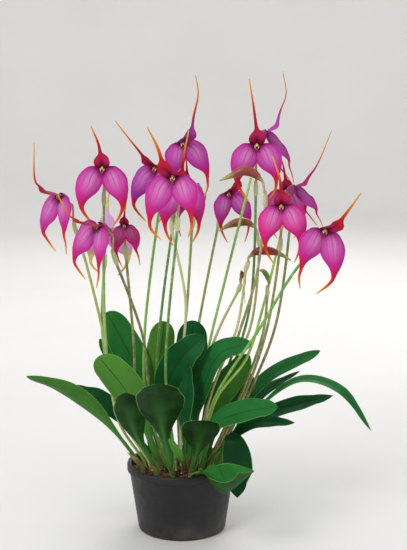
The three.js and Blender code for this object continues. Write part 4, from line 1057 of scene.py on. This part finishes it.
def lateral(hand, tip, tail, reach, marks):
    """A broad cambered blade beside the throat, drawn out into a tail. hand is -1 for the left one."""
    end = np.array([tip[0], -reach, tip[1]])
    places = LATERAL_LINE * (end / LATERAL_LINE[-1])
    tail = np.array(tail, float)
    midway = end + 0.38 * (tail - end) + np.array([hand * TAIL_BOW, 0, 0])
    root = np.array(LATERAL_ROOT) * (hand, 1, 1)
    phase = bloom_random.uniform(0, 6)

    def waves(shares, x):
        full = np.clip(shares * 6, 0, 1) * np.clip((0.62 - shares) * 5, 0, 1)
        camber = CAMBER * full * (1 - x**2)
        ripple = EDGE_RIPPLE * full * np.sin(shares * 21 + phase) * np.abs(x) ** 4
        veins = VEIN_DEPTH * full * np.clip(np.cos(VEIN_COUNT * x) * 6 - 5, 0, 1)
        return camber + ripple - veins, camber + ripple

    line = grown_line([root, *places, midway, tail])
    widths = (OUTER_EDGE, INNER_EDGE) if hand > 0 else (INNER_EDGE, OUTER_EDGE)
    marks = {"lobe": [[0.0]], **marks}
    return sepal(line, LATERAL_SECTIONS, widths, face=(0, -1, 0), marks=marks, waves=waves)


def hooded(flower, marks):
    """The hood over the throat, drawn out into the upper tail."""
    lip, bend, tip = (np.array(flower[key], float) for key in ("hood", "bend", "tip"))
    line = grown_line([DORSAL_ROOT, lip * 0.5 + (0, 0, 2), lip, lip + 0.4 * (bend - lip), bend, tip])
    to_lip = line["lengths"][2 * LINE_STEPS] / line["length"]
    edge = [(share * to_lip, width) for share, width in HOOD_EDGE] + [(1, 0.6)]

    def waves(shares, x):
        full = np.clip(shares * 9, 0, 1) * np.clip((1.25 * to_lip - shares) * 9, 0, 1)
        fold = -HOOD_FOLD * full * np.exp(-((x / 0.22) ** 2)) + HOOD_ARCH * full * (1 - np.abs(x))
        return fold, fold

    rise = np.array([1.0, 0, 0])
    marks = {"lobe": [[1.0]], "hooded": (np.linspace(0, 1, SEPAL_ROWS) / to_lip)[:, None], **marks}
    return sepal(line, DORSAL_SECTIONS, (edge, edge), across=rise, marks=marks, waves=waves)


def throat_skins():
    """The open tube behind the throat, the dark floor inside it, the column, two petals and the lip."""
    tube_line = grown_line([(0, 2.2, 0), (0, 7, -1.6), TUBE_FOOT])
    rows = np.linspace(0, tube_line["length"], 14)
    radii = eased([0, 0.4, 1], [5.4, 5, 1.9], rows / rows[-1])
    marks = {"along": (rows / rows[-1])[:, None]}
    skins = [rod(tube_line, rows, radii, marks, 1, 24, lambda a: 1 + 0.03 * np.cos(6 * a))]
    dark_line = grown_line([(0, 1.3, 0.5), (0, 2, 0.5), (0, 2.8, 0.5)])
    skins.append(rod(dark_line, np.linspace(0, dark_line["length"], 4), [2.4, 3.6, 4.4, 4.8], None, 2, 20))
    column_line = grown_line([(0, 2, 2.6), (0, -0.8, 2.6), (0, -2.4, 0.4)])
    rows = np.linspace(0, column_line["length"], 8)
    radii = [1.1, 1.1, 1.1, 1.15, 1.2, 1.25, 1.1, 0.7]
    skins.append(rod(column_line, rows, radii, {"along": (rows / rows[-1])[:, None]}, 3, 12))
    for hand in (-1, 1):
        petal_line = grown_line([(hand * 1.2, 1.4, 2.2), (hand * 1.9, -1, 0.8), (hand * 1.5, -2.2, -1.6)])
        rows = np.linspace(0, 1, 8)
        half = eased([0, 0.6, 1], [0.5, 0.75, 0.3], rows)
        face = (hand * 0.4, -0.9, 0.2)
        skins.append(blade(petal_line, rows, half, np.full(8, 0.5), np.zeros(8), face, columns=6, finish=3))
    lip_line = grown_line([(0, 1.4, -0.8), (0, -1.2, -1.6), (0, -2.6, -3.8)])
    rows = np.linspace(0, 1, 8)
    half = eased([0, 0.5, 1], [0.7, 1.3, 0.6], rows)
    face = (0, -0.3, 1)
    skins.append(blade(lip_line, rows, half, np.full(8, 0.6), np.full(8, 0.3), face, columns=6, finish=4))
    return skins


BLOOM_FINISHES = [sepal_finish, tube_finish, throat_finish, column_finish, lip_finish]
for number, row in enumerate(FLOWERS, 1):
    flower = {**PLAIN_FLOWER, **row}
    turn, throat = bloom_frame(flower)
    marks = {key: [[flower[key]]] for key in BLOOM_MARKS}
    skins = [hooded(flower, marks)]
    for hand, tip, tail in zip((-1, 1), flower["tips"], flower["tails"]):
        skins.append(lateral(hand, tip, tail, flower["reach"], marks))
    skins += throat_skins()
    for one in skins:
        one["points"] = one["points"] @ turn.T + throat
    node = f"bloom_{number:02d}"
    add_piece(f"bloom_sepals_{number:02d}", skins, BLOOM_FINISHES, [node], PLANT_CREASE)


# Buds. Three long ones are still closed, with their sepals joined along seams and their tails in one green
# point. One is spent and hangs dry, and one is young and green. Each is one piece with its stem.
bud_finish, tree, shader = new_finish("bud_skin", Roughness=0.42, Specular_IOR_Level=0.5)
hue = mark_of(tree, "hue", "Color")
seam = ribs(tree, 9.425, HALF_PI, 0.9, 1.0)
colour = blend(tree, times(tree, mottle(tree, 420, 0.35, 0.7, 4), 0.35), hue, dye("5a2a1c"))
colour = blend(tree, times(tree, seam, 0.35), colour, dye("3c1410"))
feed(tree, shader.inputs["Base Color"], colour)
relief(tree, shader, times(tree, seam, -1.0), 0.4)

BUDS = [
    {"stem": [(63, -5, 223), (84, -26, 302), (92, -42, 380)], "radius": 5.6, "body_hue": "b0543a",
     "green": ("9c9858", "a49c60"),
     "body": [(87, -45, 408), (79, -45, 415), (69, -45, 418), (56, -45, 413), (42, -45, 407)]},
    {"stem": [(44, 24, 158), (79, 31, 228), (89, 36, 326)], "radius": 5, "body_hue": "b07242",
     "green": ("ccb88c", "c0b480"),
     "body": [(83, 36, 346), (75, 36, 351), (65, 36, 351), (53, 36, 347), (43, 36, 341)]},
    {"stem": [(35, -30, 171), (63, -20, 242), (72, -20, 306)], "radius": 5, "body_hue": "9c3a34",
     "green": ("ccc48c", "bcc078"),
     "body": [(77, -20, 321), (84, -20, 326), (95, -20, 327), (108, -20, 324), (122, -20, 316)]},
    {"stem": [(19, -8, 165), (42, -9, 235), (64, -10, 280)], "radius": 2.6, "body_hue": "8a6a34",
     "green": ("d0c890", "c0bc80"), "body": [(67, -10, 294), (68, -10, 299), (67, -9, 303)],
     "shred": [(66.5, -12, 302), (70, -13, 300), (71.5, -13.5, 291), (71, -13, 284), (71.5, -13, 266)]},
    {"stem": [(71, -7, 167), (93, 4, 230), (98, 15, 272)], "radius": 3.4, "body_hue": "6fa040",
     "green": ("948650", "90a050"), "body": [(99, 15, 286), (97, 15, 293), (93, 15, 298), (88, 15, 299)]},
]
# Shares of a bud's radius along its body
FULL_BUD, SMALL_BUD = [0.35, 0.85, 1, 0.6, 0.12], [0.6, 1, 0.3]
BUD_SIDES, BUD_ROWS, SHRED_ROWS = 24, 34, 40
for number, bud in enumerate(BUDS, 1):
    node = f"bud_scape_{number:02d}"
    body = np.array(bud["body"], float)
    way = (body[0] - body[1]) / np.linalg.norm(body[0] - body[1])
    end = body[0] + 0.3 * (body[1] - body[0])
    skins = scape_skins(foot_of(node), bud["stem"], end, way, bud["green"])
    swell = FULL_BUD if len(body) > len(SMALL_BUD) else SMALL_BUD
    line = grown_line(body)
    knots = np.concatenate([[-0.06], line["lengths"][::LINE_STEPS] / line["length"]])
    rows = np.linspace(0, 1, BUD_ROWS)
    swell = np.interp(np.linspace(0, 1, len(body)), np.linspace(0, 1, len(swell)), swell)
    radii = eased(knots, [0.02, *(swell * bud["radius"])], rows)
    angles = np.arange(BUD_SIDES) * 2 * math.pi / BUD_SIDES
    main, green, deep = (np.array(dye(code)[:3]) for code in (bud["body_hue"], "a8b050", "6a1418"))
    share = np.clip((rows - 0.62) * 4, 0, 1) + np.clip((0.1 - rows) * 12, 0, 0.8)
    top = np.clip(np.sin(angles) * 3 - 2.1, 0, 1)[None] * 0.8
    share = np.clip(share[:, None] + top, 0, 1)[..., None]
    below = np.clip(-np.sin(angles) * 2 - 0.6, 0, 1)[None, :, None] * (0.6 if len(body) > 4 else 0.2)
    hues = main + (deep - main) * below
    marks = {"hue": hues + (green - hues) * share}
    seams = lambda a: 1 - 0.05 * np.clip(np.cos(3 * a) * 4 - 3, 0, 1)
    skins.append(rod(line, rows * line["length"], radii, marks, 2, BUD_SIDES, seams))
    if "shred" in bud:
        shred = grown_line(bud["shred"])
        rows = np.linspace(0, 1, SHRED_ROWS)
        half = eased([0, 0.15, 0.4, 0.5, 1], [0.8, 1.5, 1, 0.35, 0.3], rows)
        dried, olive = (np.array(dye(code)[:3]) for code in ("741c1e", "8a8a48"))
        hues = dried + (olive - dried) * np.clip(rows * 6 - 2.4, 0, 1)[:, None]
        thick, lift = np.full(SHRED_ROWS, 0.5), np.full(SHRED_ROWS, 0.4)
        marks = {"hue": np.broadcast_to(hues[:, None], (SHRED_ROWS, 12, 3))}
        face = (-0.3, -0.9, 0.1)
        skins.append(blade(shred, rows, half, thick, lift, face, columns=6, marks=marks, finish=2))
    finishes = [stem_finish, bract_finish, bud_finish]
    add_piece(f"bud_on_stem_{number:02d}", skins, finishes, [node], PLANT_CREASE)
